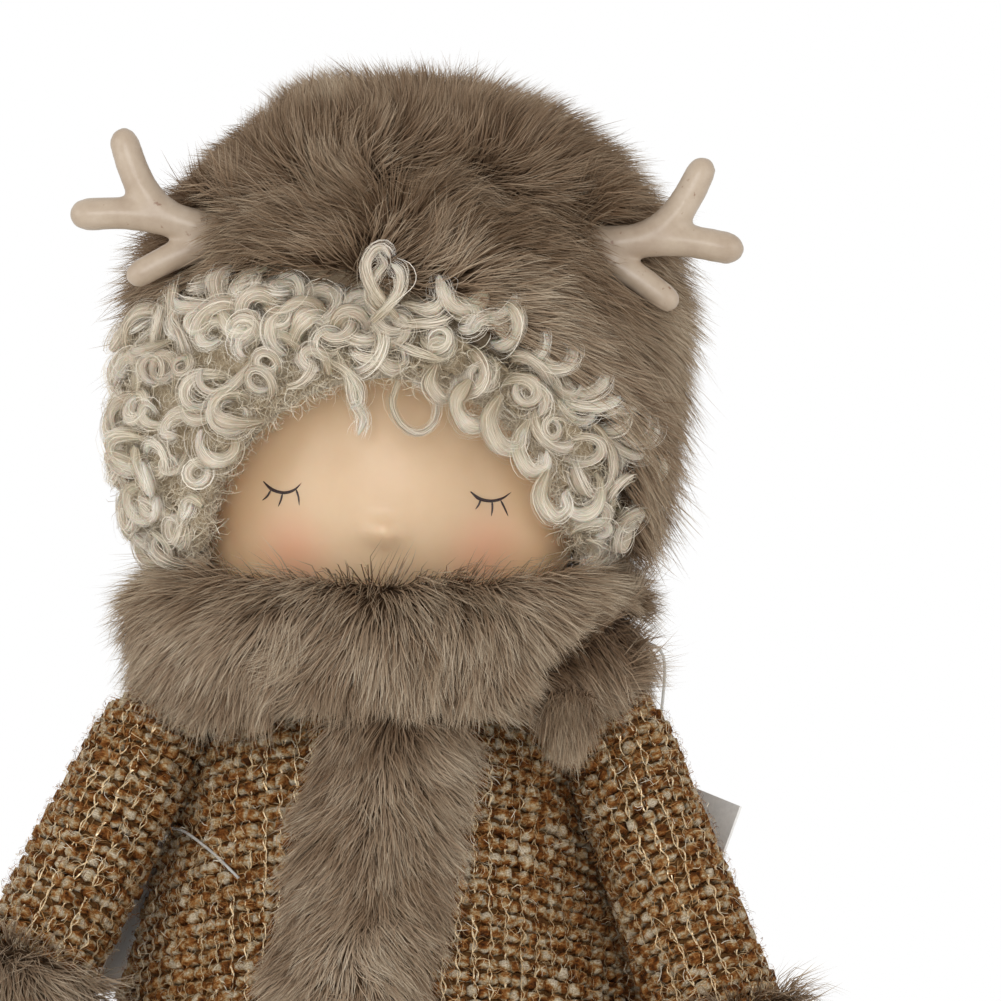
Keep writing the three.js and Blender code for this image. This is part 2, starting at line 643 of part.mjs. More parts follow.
function arm(name, side) {
  const group = new THREE.Group();
  group.position.set(side * shoulderAcross, -shoulderForward, shoulderHeight);
  doll.add(group);
  const slope = (angle) => Math.tan(degrees(angle));
  const direction = at(side * slope(armSpread[name]), -slope(armForward), -1).normalize();
  const turn = new THREE.Quaternion().setFromUnitVectors(at(0, 0, -1), direction);
  const hung = (geometry) => geometry.applyQuaternion(turn);
  const dome = (radius, end) => {
    const arcs = [0.02, 0.3, 0.6, 0.85].map((share) => share * (Math.PI / 2));
    return [...arcs.map((a) => [radius * Math.sin(a), radius * Math.cos(a)]), ...end];
  };
  const holeFor = (radius) =>
    new THREE.CylinderGeometry(radius, radius, sleeveTop * 1.2, 8)
      .rotateZ(Math.PI / 2)
      .translate(-side * sleeveTop * 0.6, 0, 0);
  const swell = (share) => mix(sleeveTop, sleeveEnd, share);
  const sleeveWalls = [
    ...dome(sleeveTop, [[sleeveTop, -4], [swell(0.5), -sleeveLength / 2], [sleeveEnd, -sleeveLength]]),
    ...dome(sleeveTop - sleeveCloth, [
      [sleeveTop - sleeveCloth, -4],
      [swell(0.5) - sleeveCloth, -sleeveLength / 2],
      [sleeveEnd - sleeveCloth, -sleeveLength],
    ]).toReversed(),
  ];
  add(`sleeve_${name}`, cut(hung(turned(sleeveWalls, 18)), holeFor(cordRadius + seat)), "tweed", group);
  const packed = sleeveCloth + seat;
  const pocketStart = sleeveTop - discInset - discThickness - seat;
  const pocket = new THREE.CylinderGeometry(discRadius + seat, discRadius + seat, discThickness + 2 * seat, 12)
    .rotateZ(Math.PI / 2)
    .translate(-side * (pocketStart + (discThickness + 2 * seat) / 2), 0, 0);
  const knotRoom = new THREE.CylinderGeometry(knotRadius + seat, knotRadius + seat, 4.5, 8)
    .rotateZ(Math.PI / 2)
    .translate(-side * (pocketStart - 1.9), 0, 0);
  const stuffing = turned(
    [
      ...dome(sleeveTop - packed, [
        [sleeveTop - packed, -4],
        [swell(0.5) - packed, -sleeveLength / 2],
        [sleeveEnd - packed, -sleeveLength + 4],
        [sleeveEnd - packed - 2, -sleeveLength],
      ]),
      [0.01, -sleeveLength],
    ],
    14,
  );
  const packing = cut(hung(stuffing), pocket, knotRoom, holeFor(cordRadius + seat));
  add(`arm_stuffing_${name}`, packing, "cloth", group);
  const disc = new THREE.CylinderGeometry(discRadius, discRadius, discThickness, 18).rotateZ(Math.PI / 2);
  const eye = new THREE.CylinderGeometry(cordRadius + seat, cordRadius + seat, 8, 12).rotateZ(Math.PI / 2);
  const ring = cut(disc, eye).translate(-side * (sleeveTop - discInset - discThickness / 2), 0, 0);
  add(`shoulder_disc_${name}`, ring, "plastic", group);
  const cuffEnd = cuffStart + cuffLength;
  const cuffWalls = [
    [sleeveEnd + seat, -cuffStart],
    [sleeveEnd + 4, -cuffStart - 0.5],
    [cuffReach - 0.8, -cuffStart - 4],
    [cuffReach, -cuffStart - cuffLength * 0.5],
    [cuffReach - 1.5, -cuffEnd + 3],
    [wristRadius + 4, -cuffEnd],
    [wristRadius + seat, -cuffEnd + 0.5],
    [wristRadius + seat, -sleeveLength - seat],
    [sleeveEnd + seat, -sleeveLength - seat],
  ];
  add(`cuff_${name}`, hung(turned(cuffWalls, 20)), "fur", group);
  add(`mitten_${name}`, hung(mitten(side)), "felt", group);
}
for (const [name, side] of Object.entries(sides)) arm(name, side);

// Legs on rods under a board, in weighted boots.
const boardTop = boardFoot + boardThickness;
const boardHoles = legSides.map(([, x]) => bar(rodRadius + seat, boardFoot - 2, boardTop + 2, 12, x));
add(
  "hip_board",
  cut(
    skin([boardFoot, boardTop].map((z) => oval(z, boardHalf.across, boardHalf.deep, 28))),
    ...boardHoles,
  ),
  "wood",
);
const bootFoot = soleThickness + seat;
const legFoot = bootFoot + bootWall + seat;
const legTop = boardFoot - seat;
const rodFoot = legFoot + 6;
const shaft = legRadius.ankle + seat + bootWall;

// Boot walls as [share of the height, half width, half length, middle in front of the leg].
const bootStations = [
  [0, soleHalf.across - 1.4, soleHalf.long - 2, bootToe],
  [0.1, soleHalf.across - 0.6, soleHalf.long - 1, bootToe],
  [0.28, soleHalf.across - 1, soleHalf.long - 2.4, bootToe - 0.8],
  [0.44, shaft + 2, mix(shaft, soleHalf.long, 0.6), bootToe * 0.6],
  [0.6, shaft + 0.8, shaft + 3, bootToe * 0.2],
  [0.78, shaft, shaft, 0],
  [1, shaft, shaft, 0],
];
function boot(x) {
  const sides = 20;
  const ring = ([share, across, long, ahead], inset, floor) => {
    const height = Math.max(mix(bootFoot, bootHeight, share), floor);
    return oval(height, across - inset, long - inset, sides, x, -ahead);
  };
  const outer = bootStations.map((station) => ring(station, 0, 0));
  const inner = bootStations.map((station) => ring(station, bootWall, bootFoot + bootWall));
  return skin([...outer, ...inner.toReversed()]);
}
function sole(x) {
  const ring = (height, inset) =>
    oval(height, soleHalf.across - inset, soleHalf.long - inset, 28, 0, 0).map((p) => {
      const waist = 1 - soleWaist * Math.exp(-(((p.y - 4) / 9) ** 2));
      return at(x + p.x * waist, p.y - bootToe, height);
    });
  return skin([ring(0, 0.8), ring(0.8, 0), ring(soleThickness - 0.5, 0), ring(soleThickness, 0.5)]);
}
for (const [name, x] of legSides) {
  const legRings = [
    [legFoot, legRadius.ankle - 2],
    [legFoot + 2, legRadius.ankle],
    [bootHeight + 4, legRadius.ankle],
    [mix(bootHeight, legTop, 0.5), mix(legRadius.ankle, legRadius.thigh, 0.6)],
    [legTop - 3, legRadius.thigh],
    [legTop, legRadius.thigh - 2],
  ].map(([height, radius]) => oval(height, radius, radius, 20, x));
  const leg = skin(legRings);
  add(`leg_${name}`, cut(leg, bar(rodRadius + seat, rodFoot - seat, legTop + 5, 12, x)), "cloth");
  add(`leg_rod_${name}`, bar(rodRadius, rodFoot, rodTop, 12, x), "steel");
  add(`boot_${name}`, boot(x), "felt");
  add(`boot_sole_${name}`, sole(x), "rubber");
  const weight = roundForm(at(x, -bootToe - 13, legFoot + weightHalf.z), weightHalf, { around: 14, levels: 8 });
  const legRoom = bar(legRadius.ankle + seat, 0, bootHeight, 20, x);
  add(`boot_weight_${name}`, cut(weight, legRoom), "steel");
  const band = ringSection(bootFur, bootBand / 2, shaft + seat + bootFur, bootHeight - bootBand / 2 + 3, 6);
  add(`boot_trim_${name}`, turned(band, 20).translate(x, 0, 0), "fur");
}

// Plain cards on plastic pins: one lies between the right arm and the coat, and one hangs behind the left arm.
function card({ corner, roll, yaw }) {
  const { wide, long, thick } = cardSize;
  const { radius, across, down } = cardHole;
  const plate = new THREE.BoxGeometry(wide, thick, long).translate(wide / 2, 0, -long / 2);
  const hole = new THREE.CylinderGeometry(radius, radius, 4 * thick, 12).translate(across, 0, -down);
  const place = new THREE.Matrix4().makeRotationY(degrees(roll));
  place.multiply(new THREE.Matrix4().makeRotationZ(degrees(yaw))).setPosition(corner);
  return cut(plate, hole).applyMatrix4(place);
}
function pin(route) {
  const curve = new THREE.CatmullRomCurve3(route.map(([x, y, rise]) => at(x, y, chin + rise)));
  const section = new THREE.Shape().absarc(0, 0, pinRadius, 0, fullTurn);
  console.log("tag pin", curve.getLength().toFixed(1), "mm");
  return new THREE.ExtrudeGeometry(section, {
    extrudePath: curve,
    steps: 18,
    curveSegments: 4,
    bevelEnabled: false,
  });
}
const tags = {
  front: {
    corner: at(-41.4, -4, chin - 23.4),
    roll: 24,
    yaw: 80,
    route: [
      [-27.1, -29.7, -35.4],
      [-32.2, -24.2, -31],
      [-37.9, -15.6, -27.5],
      [-41, -8.5, -27],
      [-42, -4, -27.7],
      [-42.5, -1, -28.6],
      [-43.2, 0.1, -28.9],
      [-44.2, 0.4, -29],
    ],
  },
  side: {
    corner: at(57.8, 23.4, chin - 18.1),
    roll: 20,
    yaw: -50,
    route: [
      [53.07, 9, 10],
      [56.9, 10.1, 6.6],
      [56.7, 12, -3],
      [55.4, 14, -11],
      [56.2, 17.3, -19],
      [57.2, 19.4, -23.4],
      [58.2, 20.3, -24.6],
      [59, 21, -25],
    ],
  },
};
for (const [name, tag] of Object.entries(tags)) {
  add(`tag_card_${name}`, card(tag), "paper");
  add(`tag_pin_${name}`, pin(tag.route), "plastic");
}

export default doll;
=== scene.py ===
# %% [markdown]
# This notebook dresses a standing winter doll. Its solids come packed and in place, in metres, with +Z up
# and the face towards -Y. Every cell below turns one kind of surface into what it is on the real doll: long
# fur, curled mohair, woven tweed, a moulded face, felt boots and plain card tags.

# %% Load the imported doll
import json
import math

import bmesh
import bpy
import numpy as np
from mathutils import Matrix, Vector
from mathutils.bvhtree import BVHTree
from mathutils.kdtree import KDTree


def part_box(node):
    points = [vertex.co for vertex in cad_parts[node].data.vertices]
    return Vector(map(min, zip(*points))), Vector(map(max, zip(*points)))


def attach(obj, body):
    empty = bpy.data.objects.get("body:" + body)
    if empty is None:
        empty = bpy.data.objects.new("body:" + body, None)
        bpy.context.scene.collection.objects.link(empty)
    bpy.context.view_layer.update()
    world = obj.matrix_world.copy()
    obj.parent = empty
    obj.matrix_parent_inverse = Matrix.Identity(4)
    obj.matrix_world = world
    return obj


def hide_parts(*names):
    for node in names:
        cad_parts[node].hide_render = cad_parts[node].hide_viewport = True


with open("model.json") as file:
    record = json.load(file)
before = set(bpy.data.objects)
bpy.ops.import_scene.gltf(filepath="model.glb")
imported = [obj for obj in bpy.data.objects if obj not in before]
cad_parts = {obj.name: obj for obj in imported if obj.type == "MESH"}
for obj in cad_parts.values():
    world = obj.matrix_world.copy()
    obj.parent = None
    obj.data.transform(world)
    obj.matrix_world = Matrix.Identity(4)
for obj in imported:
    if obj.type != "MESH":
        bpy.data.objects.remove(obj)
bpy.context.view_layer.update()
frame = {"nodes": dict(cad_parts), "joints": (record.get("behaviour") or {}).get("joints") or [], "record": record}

body_of = {node: body for body, nodes in frame["record"]["behaviour"]["bodies"].items() for node in nodes}
joint_at = {joint["name"]: Vector(joint["pos_m"]) for joint in frame["joints"]}

# %% [markdown]
# The photograph looks straight at the doll from the front. One of its pixels is a fifth of a millimetre at
# the doll, so a long lens a good metre away, aimed at the middle of the picture, gives the same view. The
# helper below turns a place in the picture into a place in the room, at any depth.

# %% Camera
PIXEL = 0.0002
PICTURE_MIDDLE = 500.5
AIM = Vector((0.0273, 0, 0.3001))
CAMERA_AWAY = 1.15
SENSOR = 36
PICTURE_WIDTH = 1001 * PIXEL

camera = bpy.data.objects.new("camera", bpy.data.cameras.new("camera"))
camera.data.sensor_width = SENSOR
camera.data.lens = SENSOR * CAMERA_AWAY / PICTURE_WIDTH
camera.location = AIM + Vector((0, -CAMERA_AWAY, 0))
camera.rotation_euler = (math.radians(90), 0, 0)
bpy.context.scene.collection.objects.link(camera)
bpy.context.scene.camera = camera


def spot(across, down, depth=0.0):
    """The point that shows at a pixel of the photograph, at a depth behind the doll's middle."""
    spread = PIXEL * (CAMERA_AWAY + depth) / CAMERA_AWAY
    return AIM + Vector(((across - PICTURE_MIDDLE) * spread, depth, (PICTURE_MIDDLE - down) * spread))


print("lens", round(camera.data.lens, 1), "mm")

# %% [markdown]
# Shader colours are linear light, but a maker picks them from a chart in the usual six-digit form. These
# small helpers translate a chart colour, make a material and add its nodes, so that each finish reads as a
# recipe.

# %% Helpers for finishes


def tint(code):
    """A chart colour such as 8a7764 as linear light."""
    parts = [int(code[i : i + 2], 16) / 255 for i in (0, 2, 4)]
    return (*[p / 12.92 if p <= 0.04045 else ((p + 0.055) / 1.055) ** 2.4 for p in parts], 1)


def new_finish(name, **sockets):
    """A material and its surface shader, with constants set on the shader's own sockets."""
    finish = bpy.data.materials.new(name)
    finish.use_nodes = True
    shader = finish.node_tree.nodes["Principled BSDF"]
    for socket, value in sockets.items():
        shader.inputs[socket.replace("_", " ")].default_value = value
    return finish, shader


def add_node(tree, kind, settings=None, **inputs):
    """One node, with its settings, and its inputs as numbers, colours or links from other nodes."""
    node = tree.nodes.new(kind)
    for key, value in (settings or {}).items():
        setattr(node, key, value)
    for key, value in inputs.items():
        socket = node.inputs[int(key[1:])] if key[1:].isdigit() else node.inputs[key.replace("_", " ")]
        if isinstance(value, bpy.types.NodeSocket):
            tree.links.new(value, socket)
        else:
            socket.default_value = value
    return node


def ramp(tree, factor, stops, smooth="LINEAR"):
    """A colour ramp through (place, chart colour) stops."""
    node = add_node(tree, "ShaderNodeValToRGB", Fac=factor)
    node.color_ramp.interpolation = smooth
    elements = node.color_ramp.elements
    while len(elements) < len(stops):
        elements.new(0.5)
    for element, (place, code) in zip(elements, stops):
        element.position = place
        element.color = tint(code)
    return node.outputs["Color"]


def between(tree, value, low, high, to_low=0.0, to_high=1.0):
    """A number mapped smoothly from one range to another."""
    node = add_node(tree, "ShaderNodeMapRange", {"interpolation_type": "SMOOTHSTEP"}, Value=value)
    for key, number in {"From Min": low, "From Max": high, "To Min": to_low, "To Max": to_high}.items():
        node.inputs[key].default_value = number
    return node.outputs["Result"]


def blend_colours(tree, factor, first, second, kind="MIX"):
    """Two colours mixed by a mask, or multiplied together."""
    node = add_node(tree, "ShaderNodeMix", {"data_type": "RGBA", "blend_type": kind}, _0=factor)
    for index, value in ((6, first), (7, second)):
        if isinstance(value, bpy.types.NodeSocket):
            tree.links.new(value, node.inputs[index])
        else:
            node.inputs[index].default_value = value
    return node.outputs[2]


def noise(tree, scale, detail=3.0, roughness=0.6, place=None):
    """A cloudy pattern on the piece's own coordinates."""
    place = place or add_node(tree, "ShaderNodeTexCoord").outputs["Object"]
    return add_node(
        tree, "ShaderNodeTexNoise", Vector=place, Scale=scale, Detail=detail, Roughness=roughness
    ).outputs["Fac"]


def raise_by(tree, shader, height, distance, strength=1.0):
    """Small relief on a surface from a height pattern."""
    bump = add_node(tree, "ShaderNodeBump", Height=height, Distance=distance, Strength=strength)
    tree.links.new(bump.outputs["Normal"], shader.inputs["Normal"])


def stretched(tree, place, sizes):
    """Coordinates multiplied by a size along each axis."""
    return add_node(tree, "ShaderNodeVectorMath", {"operation": "MULTIPLY"}, _0=place, _1=sizes).outputs[0]


def clouded(name, scale, stops, detail=3.0, **sockets):
    """A finish whose colour is a cloudy pattern, and its shader."""
    finish, shader = new_finish(name, **sockets)
    tree = finish.node_tree
    colour = ramp(tree, noise(tree, scale, detail), stops)
    tree.links.new(colour, shader.inputs["Base Color"])
    return finish, shader


print("finish helpers ready")

# %% [markdown]
# Two swing tags hang on thin plastic pins. A pin like this is shot through the cloth and ends in a small
# cross bar behind the card. It is thin and stiff, so its own curve is kept, point by point, from where it
# leaves the cloth to where it goes through the card.

# %% Tag pins
PIN_WIDTH = 0.0006
CENTRE_LINE = joint_at["head_turn"].x
CHIN = joint_at["head_turn"].z
pin_routes = {
    "front": [
        (-27.1, -29.7, -35.4),
        (-32.2, -24.2, -31),
        (-37.9, -15.6, -27.5),
        (-41, -8.5, -27),
        (-42, -4, -27.7),
        (-42.5, -1, -28.6),
        (-43.2, 0.1, -28.9),
        (-44.2, 0.4, -29),
    ],
    "side": [
        (53.07, 9, 10),
        (56.9, 10.1, 6.6),
        (56.7, 12, -3),
        (55.4, 14, -11),
        (56.2, 17.3, -19),
        (57.2, 19.4, -23.4),
        (58.2, 20.3, -24.6),
        (59, 21, -25),
    ],
}


def curve_through(points, per_span):
    """Evenly spread points on a smooth curve through the given ones."""
    points = np.array(points, float)
    ends = [2 * points[0] - points[1], *points, 2 * points[-1] - points[-2]]
    spans = []
    for a, b, c, d in zip(ends, ends[1:], ends[2:], ends[3:]):
        for t in np.linspace(0, 1, per_span, endpoint=False):
            first = 2 * b + (c - a) * t
            rest = (2 * a - 5 * b + 4 * c - d) * t**2 + (3 * b - a - 3 * c + d) * t**3
            spans.append((first + rest) / 2)
    return np.array([*spans, points[-1]])


def make_pin(name, route):
    """A plastic pin as a round curve, and its real length."""
    route = [(x / 1000 + CENTRE_LINE, y / 1000, z / 1000 + CHIN) for x, y, z in route]
    points = curve_through(route, per_span=4)
    curve = bpy.data.curves.new(name, "CURVE")
    curve.dimensions = "3D"
    curve.bevel_depth = PIN_WIDTH / 2
    curve.bevel_resolution = 3
    curve.use_fill_caps = True
    line = curve.splines.new("POLY")
    line.points.add(len(points) - 1)
    for place, point in zip(line.points, points):
        place.co = (*point, 1)
    piece = bpy.data.objects.new(name, curve)
    bpy.context.scene.collection.objects.link(piece)
    return piece, points, float(np.linalg.norm(np.diff(points, axis=0), axis=1).sum())


clear_plastic, shader = new_finish("clear_plastic", Base_Color=tint("e9e8e4"), Roughness=0.25, IOR=1.46)
shader.inputs["Transmission Weight"].default_value = 0.55
pin_paths = {}
for side, route in pin_routes.items():
    pin, points, length = make_pin(f"tag_thread_{side}", route)
    pin_paths[side] = points
    pin.data.materials.append(clear_plastic)
    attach(pin, body_of[f"tag_pin_{side}"])
    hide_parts(f"tag_pin_{side}")
    print(pin.name, round(length * 1000, 1), "mm")

# %% [markdown]
# Fur, curls and yarn are all the same kind of thing to a modeller: one thin strand, repeated along many
# paths. A strand is a straight tube, or for the finest under-hair a flat ribbon, cut into bands. Each copy
# keeps the strand's faces and only places its rings along its own path, which is far quicker than building
# every one.

# %% A strand to copy


class Strand:
    """A strand from z = 0 to z = 1, cut into bands, as arrays that can be copied. Two sides make a ribbon."""

    def __init__(self, bands, sides=3, pointed=True):
        bm = bmesh.new()
        if sides == 2:
            bmesh.ops.create_grid(bm, x_segments=1, y_segments=bands, size=1)
            bmesh.ops.rotate(bm, verts=bm.verts, matrix=Matrix.Rotation(math.radians(90), 3, "X"))
            bmesh.ops.translate(bm, verts=bm.verts, vec=(0, 0, 1))
            bmesh.ops.scale(bm, verts=bm.verts, vec=(1, 1, 0.5))
        else:
            bmesh.ops.create_cone(bm, cap_ends=False, segments=sides, radius1=1, radius2=1, depth=1)
            bmesh.ops.translate(bm, verts=bm.verts, vec=(0, 0, 0.5))
            long_edges = [edge for edge in bm.edges if abs(edge.verts[0].co.z - edge.verts[1].co.z) > 0.5]
            bmesh.ops.subdivide_edges(bm, edges=long_edges, cuts=bands - 1, use_grid_fill=True)
        if pointed:
            tip = [vert for vert in bm.verts if vert.co.z > 0.999]
            bmesh.ops.pointmerge(bm, verts=tip, merge_co=(0, 0, 1))
        bmesh.ops.triangulate(bm, faces=bm.faces)
        bmesh.ops.recalc_face_normals(bm, faces=bm.faces)
        bm.verts.index_update()
        self.bands = bands
        self.spread = np.array([(vert.co.x, vert.co.y) for vert in bm.verts])
        self.along = np.array([vert.co.z for vert in bm.verts])
        turn = np.arctan2(self.spread[:, 1], self.spread[:, 0]) / math.tau % 1
        self.fold = np.abs(2 * turn - 1)
        self.ring = np.rint(self.along * bands).astype(int)
        self.faces = np.array([[vert.index for vert in face.verts] for face in bm.faces])
        bm.free()


def unit(vectors):
    """Vectors of length one."""
    return vectors / np.maximum(np.linalg.norm(vectors, axis=-1, keepdims=True), 1e-12)


def frames_along(paths, facing=None):
    """The ways ahead and to two sides along paths of shape (strands, rings, 3), that turn very little."""
    ahead = unit(np.gradient(paths, axis=1))
    if facing is None:
        facing = np.where(np.abs(ahead[:, 0, 2:3]) > 0.8, [[1.0, 0, 0]], [[0, 0, 1.0]])
    side = np.empty_like(paths)
    side[:, 0] = unit(np.cross(ahead[:, 0], facing))
    for ring in range(1, paths.shape[1]):
        last = side[:, ring - 1]
        straight = (last * ahead[:, ring]).sum(-1, keepdims=True) * ahead[:, ring]
        side[:, ring] = unit(last - straight)
    return ahead, side, np.cross(ahead, side)


def sweep(strand, paths, radii, facing=None):
    """Places the strand's rings along paths of shape (strands, rings, 3). A radius goes with each ring."""
    _, side, other = frames_along(paths, facing)
    ring = strand.ring
    reach = radii[:, ring, None]
    return (
        paths[:, ring]
        + side[:, ring] * strand.spread[None, :, 0:1] * reach
        + other[:, ring] * strand.spread[None, :, 1:2] * reach
    )


def mesh_of_copies(name, strand, points, uv):
    """One mesh from many copies of a strand. Its UV map gives a place in a small chart of tones."""
    copies, corners = points.shape[:2]
    faces = (strand.faces[None] + corners * np.arange(copies)[:, None, None]).ravel()
    mesh = bpy.data.meshes.new(name)
    mesh.vertices.add(copies * corners)
    mesh.vertices.foreach_set("co", points.astype(np.float32).ravel())
    mesh.loops.add(len(faces))
    mesh.loops.foreach_set("vertex_index", faces.astype(np.int32))
    mesh.polygons.add(len(faces) // 3)
    mesh.polygons.foreach_set("loop_start", np.arange(0, len(faces), 3, dtype=np.int32))
    layer = mesh.uv_layers.new(name="OFBake")
    layer.uv.foreach_set("vector", uv.reshape(-1, 2)[faces].astype(np.float32).ravel())
    mesh.update(calc_edges=True)
    mesh.shade_smooth()
    return mesh


def chart_uv(strand, tones):
    """UV places for copies of a strand: how far along it a point is, and the tone of the copy."""
    return np.stack(np.broadcast_arrays(strand.along[None] * 0.96 + 0.02, tones), -1)


def place_piece(name, mesh, finish, node, replaced=()):
    """Puts a finished mesh in the scene, on the body of a solid that it belongs to."""
    piece = bpy.data.objects.new(name, mesh)
    bpy.context.scene.collection.objects.link(piece)
    mesh.materials.clear()
    mesh.materials.append(finish)
    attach(piece, body_of[node])
    if replaced:
        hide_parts(*replaced)
    return piece


under_hair = Strand(bands=2, sides=2)
guard_hair = Strand(bands=3, sides=2)
print("a fine hair has", len(under_hair.faces), "triangles and a long one", len(guard_hair.faces))

# %% [markdown]
# Every soft piece starts from its own solid, so it stays exactly where the doll carries it. The solid is
# merged, given an even skin by a voxel remesh, and then smoothed, which takes away its flat facets and
# leaves a full, stuffed form. It can be drawn in a little, to leave room for the pile of its fur.

# %% Soft copies of the solids


def even_skin(mesh, voxel):
    """The same form with an even skin of small faces."""
    holder = bpy.data.objects.new("holder", mesh)
    bpy.context.scene.collection.objects.link(holder)
    remesh = holder.modifiers.new("even", "REMESH")
    remesh.mode = "VOXEL"
    remesh.voxel_size = voxel
    graph = bpy.context.evaluated_depsgraph_get()
    result = bpy.data.meshes.new_from_object(holder.evaluated_get(graph))
    bpy.data.objects.remove(holder)
    return result


def soft_copy(node, voxel=0.0015, rounds=6, inward=0.0, change=None):
    """A smooth, full copy of a solid. Change may move its points, as arrays of places and normals."""
    mesh = bpy.data.meshes.new(node + "_soft")
    bm = bmesh.new()
    bm.from_mesh(frame["nodes"][node].data)
    bmesh.ops.remove_doubles(bm, verts=bm.verts, dist=2e-5)
    bm.to_mesh(mesh)
    mesh = even_skin(mesh, voxel)
    bm.clear()
    bm.from_mesh(mesh)
    for _ in range(rounds):
        bmesh.ops.smooth_vert(
            bm, verts=bm.verts, factor=0.5, use_axis_x=True, use_axis_y=True, use_axis_z=True
        )
    bm.normal_update()
    if inward or change:
        places = np.array([vert.co for vert in bm.verts])
        normals = np.array([vert.normal for vert in bm.verts])
        places -= normals * inward
        if change:
            places = change(places, normals)
        for vert, place in zip(bm.verts, places):
            vert.co = place
    bm.to_mesh(mesh)
    bm.free()
    mesh.shade_smooth()
    return mesh


def skin_arrays(mesh):
    """Triangle corners and their normals, as arrays of shape (triangles, 3, 3)."""
    mesh.calc_loop_triangles()
    triangles = np.empty(len(mesh.loop_triangles) * 3, int)
    mesh.loop_triangles.foreach_get("vertices", triangles)
    places = np.empty(len(mesh.vertices) * 3)
    mesh.vertices.foreach_get("co", places)
    normals = np.empty(len(mesh.vertices) * 3)
    mesh.vertex_normals.foreach_get("vector", normals)
    triangles = triangles.reshape(-1, 3)
    return places.reshape(-1, 3)[triangles], normals.reshape(-1, 3)[triangles]


def scatter_roots(mesh, count, seed, weight):
    """Random places on a mesh with their normals. Weight gives each triangle's share of them."""
    dice = np.random.default_rng(seed)
    places, normals = skin_arrays(mesh)
    area = np.linalg.norm(np.cross(places[:, 1] - places[:, 0], places[:, 2] - places[:, 0]), axis=1)
    chance = area * weight(places.mean(1), unit(normals.mean(1)))
    chosen = dice.choice(len(area), size=count, p=chance / chance.sum())
    share = dice.dirichlet((1, 1, 1), size=count)[:, :, None]
    return (places[chosen] * share).sum(1), unit((normals[chosen] * share).sum(1))


def waves(points, size, seed, terms=7):
    """A smooth random field between about -1 and 1 that changes over the given size."""
    dice = np.random.default_rng(seed)
    directions = unit(dice.normal(size=(terms, 3))) * (math.tau / size) * dice.uniform(0.6, 1.5, (terms, 1))
    phases = dice.uniform(0, math.tau, terms)
    return np.sin(points @ directions.T + phases).sum(1) / math.sqrt(terms)


def tousle(places, size, seed):
    """A small random direction at each place, which changes over the given size."""
    return np.stack([waves(places, size, seed + axis) for axis in range(3)], 1)


def part_way(far, stretch):
    """How much of a stretch has been covered, from 0 to 1."""
    return np.clip(far / stretch, 0, 1)


def hump(far, wide):
    """1 at no distance, and falling smoothly to 0 over a width."""
    return np.exp(-((far / wide) ** 2))


def box_middle(node):
    """The middle of a solid's box."""
    low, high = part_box(node)
    return (Vector(low) + Vector(high)) / 2


def surface_of(mesh):
    """A mesh as a tree that rays can be cast at."""
    bm = bmesh.new()
    bm.from_mesh(mesh)
    tree = BVHTree.FromBMesh(bm)
    bm.free()
    return tree


print("soft copies ready")

# %% [markdown]
# Faux fur grows out of a knitted backing. Its hairs leave the backing at a slope, bend over under their own
# weight and stick together in small locks at their tips, and it is these locks, and the shadows between
# them, that make fur look like fur. So each hair gets a start direction, an end direction and a leader that
# it leans towards. Under a few long guard hairs lies a much denser coat of fine hair, as on real fur
# fabric.

# %% Growing fur
LOCK_SIZE = 22
GUARD_SHARE = 7
UNDER_RADIUS = 0.00011
GUARD_RADIUS = 0.00008
GUARD_REACH = 1.2
MOST_TRIANGLES = 190000


def grow_fur(strand, roots, normals, lay, length, radius, stand, droop, clump, seed, tone):
    """Points and UV of one strand per root. Lay is where the pile is combed to, at each root."""
    dice = np.random.default_rng(seed)
    count = len(roots)
    flat = lay - (lay * normals).sum(1, keepdims=True) * normals
    combed = unit(unit(flat) + 0.2 * dice.normal(size=(count, 3)))
    start = unit(stand * normals + (1 - stand) * combed + 0.12 * dice.normal(size=(count, 3)))
    weight = np.array([0, 0, -1.0])
    rise = np.maximum(stand - 0.1, 0.16)
    end = unit(rise * normals + combed + droop * weight + 0.17 * dice.normal(size=(count, 3)))
    reach = length * dice.uniform(0.6, 1.15, count)
    steps = np.linspace(0, 1, strand.bands + 1)
    t = steps[None, :, None]
    paths = roots[:, None] + reach[:, None, None] * (t * start[:, None] + 0.5 * t**2 * (end - start)[:, None])
    leaders = dice.permutation(count)[: max(count // LOCK_SIZE, 1)]
    tree = KDTree(len(leaders))
    for i, leader in enumerate(leaders):
        tree.insert(roots[leader], i)
    tree.balance()
    nearest = leaders[[tree.find(root)[1] for root in roots]]
    pull = (clump * steps**1.6)[None, :, None]
    paths += (paths[nearest] - paths) * pull * dice.uniform(0.4, 1, (count, 1, 1))
    thick = radius * dice.uniform(0.75, 1.25, count)
    taper = np.interp(steps, [0, 0.5, 1], [1, 0.9, 0.15])
    facing = unit(normals + 0.7 * dice.normal(size=(count, 3)))
    points = sweep(strand, paths, thick[:, None] * taper[None], facing)
    shade = tone + 0.1 * dice.normal(size=count) + 0.09 * dice.normal(size=count)[nearest]
    return points, chart_uv(strand, np.clip(shade, 0.02, 0.98)[:, None])


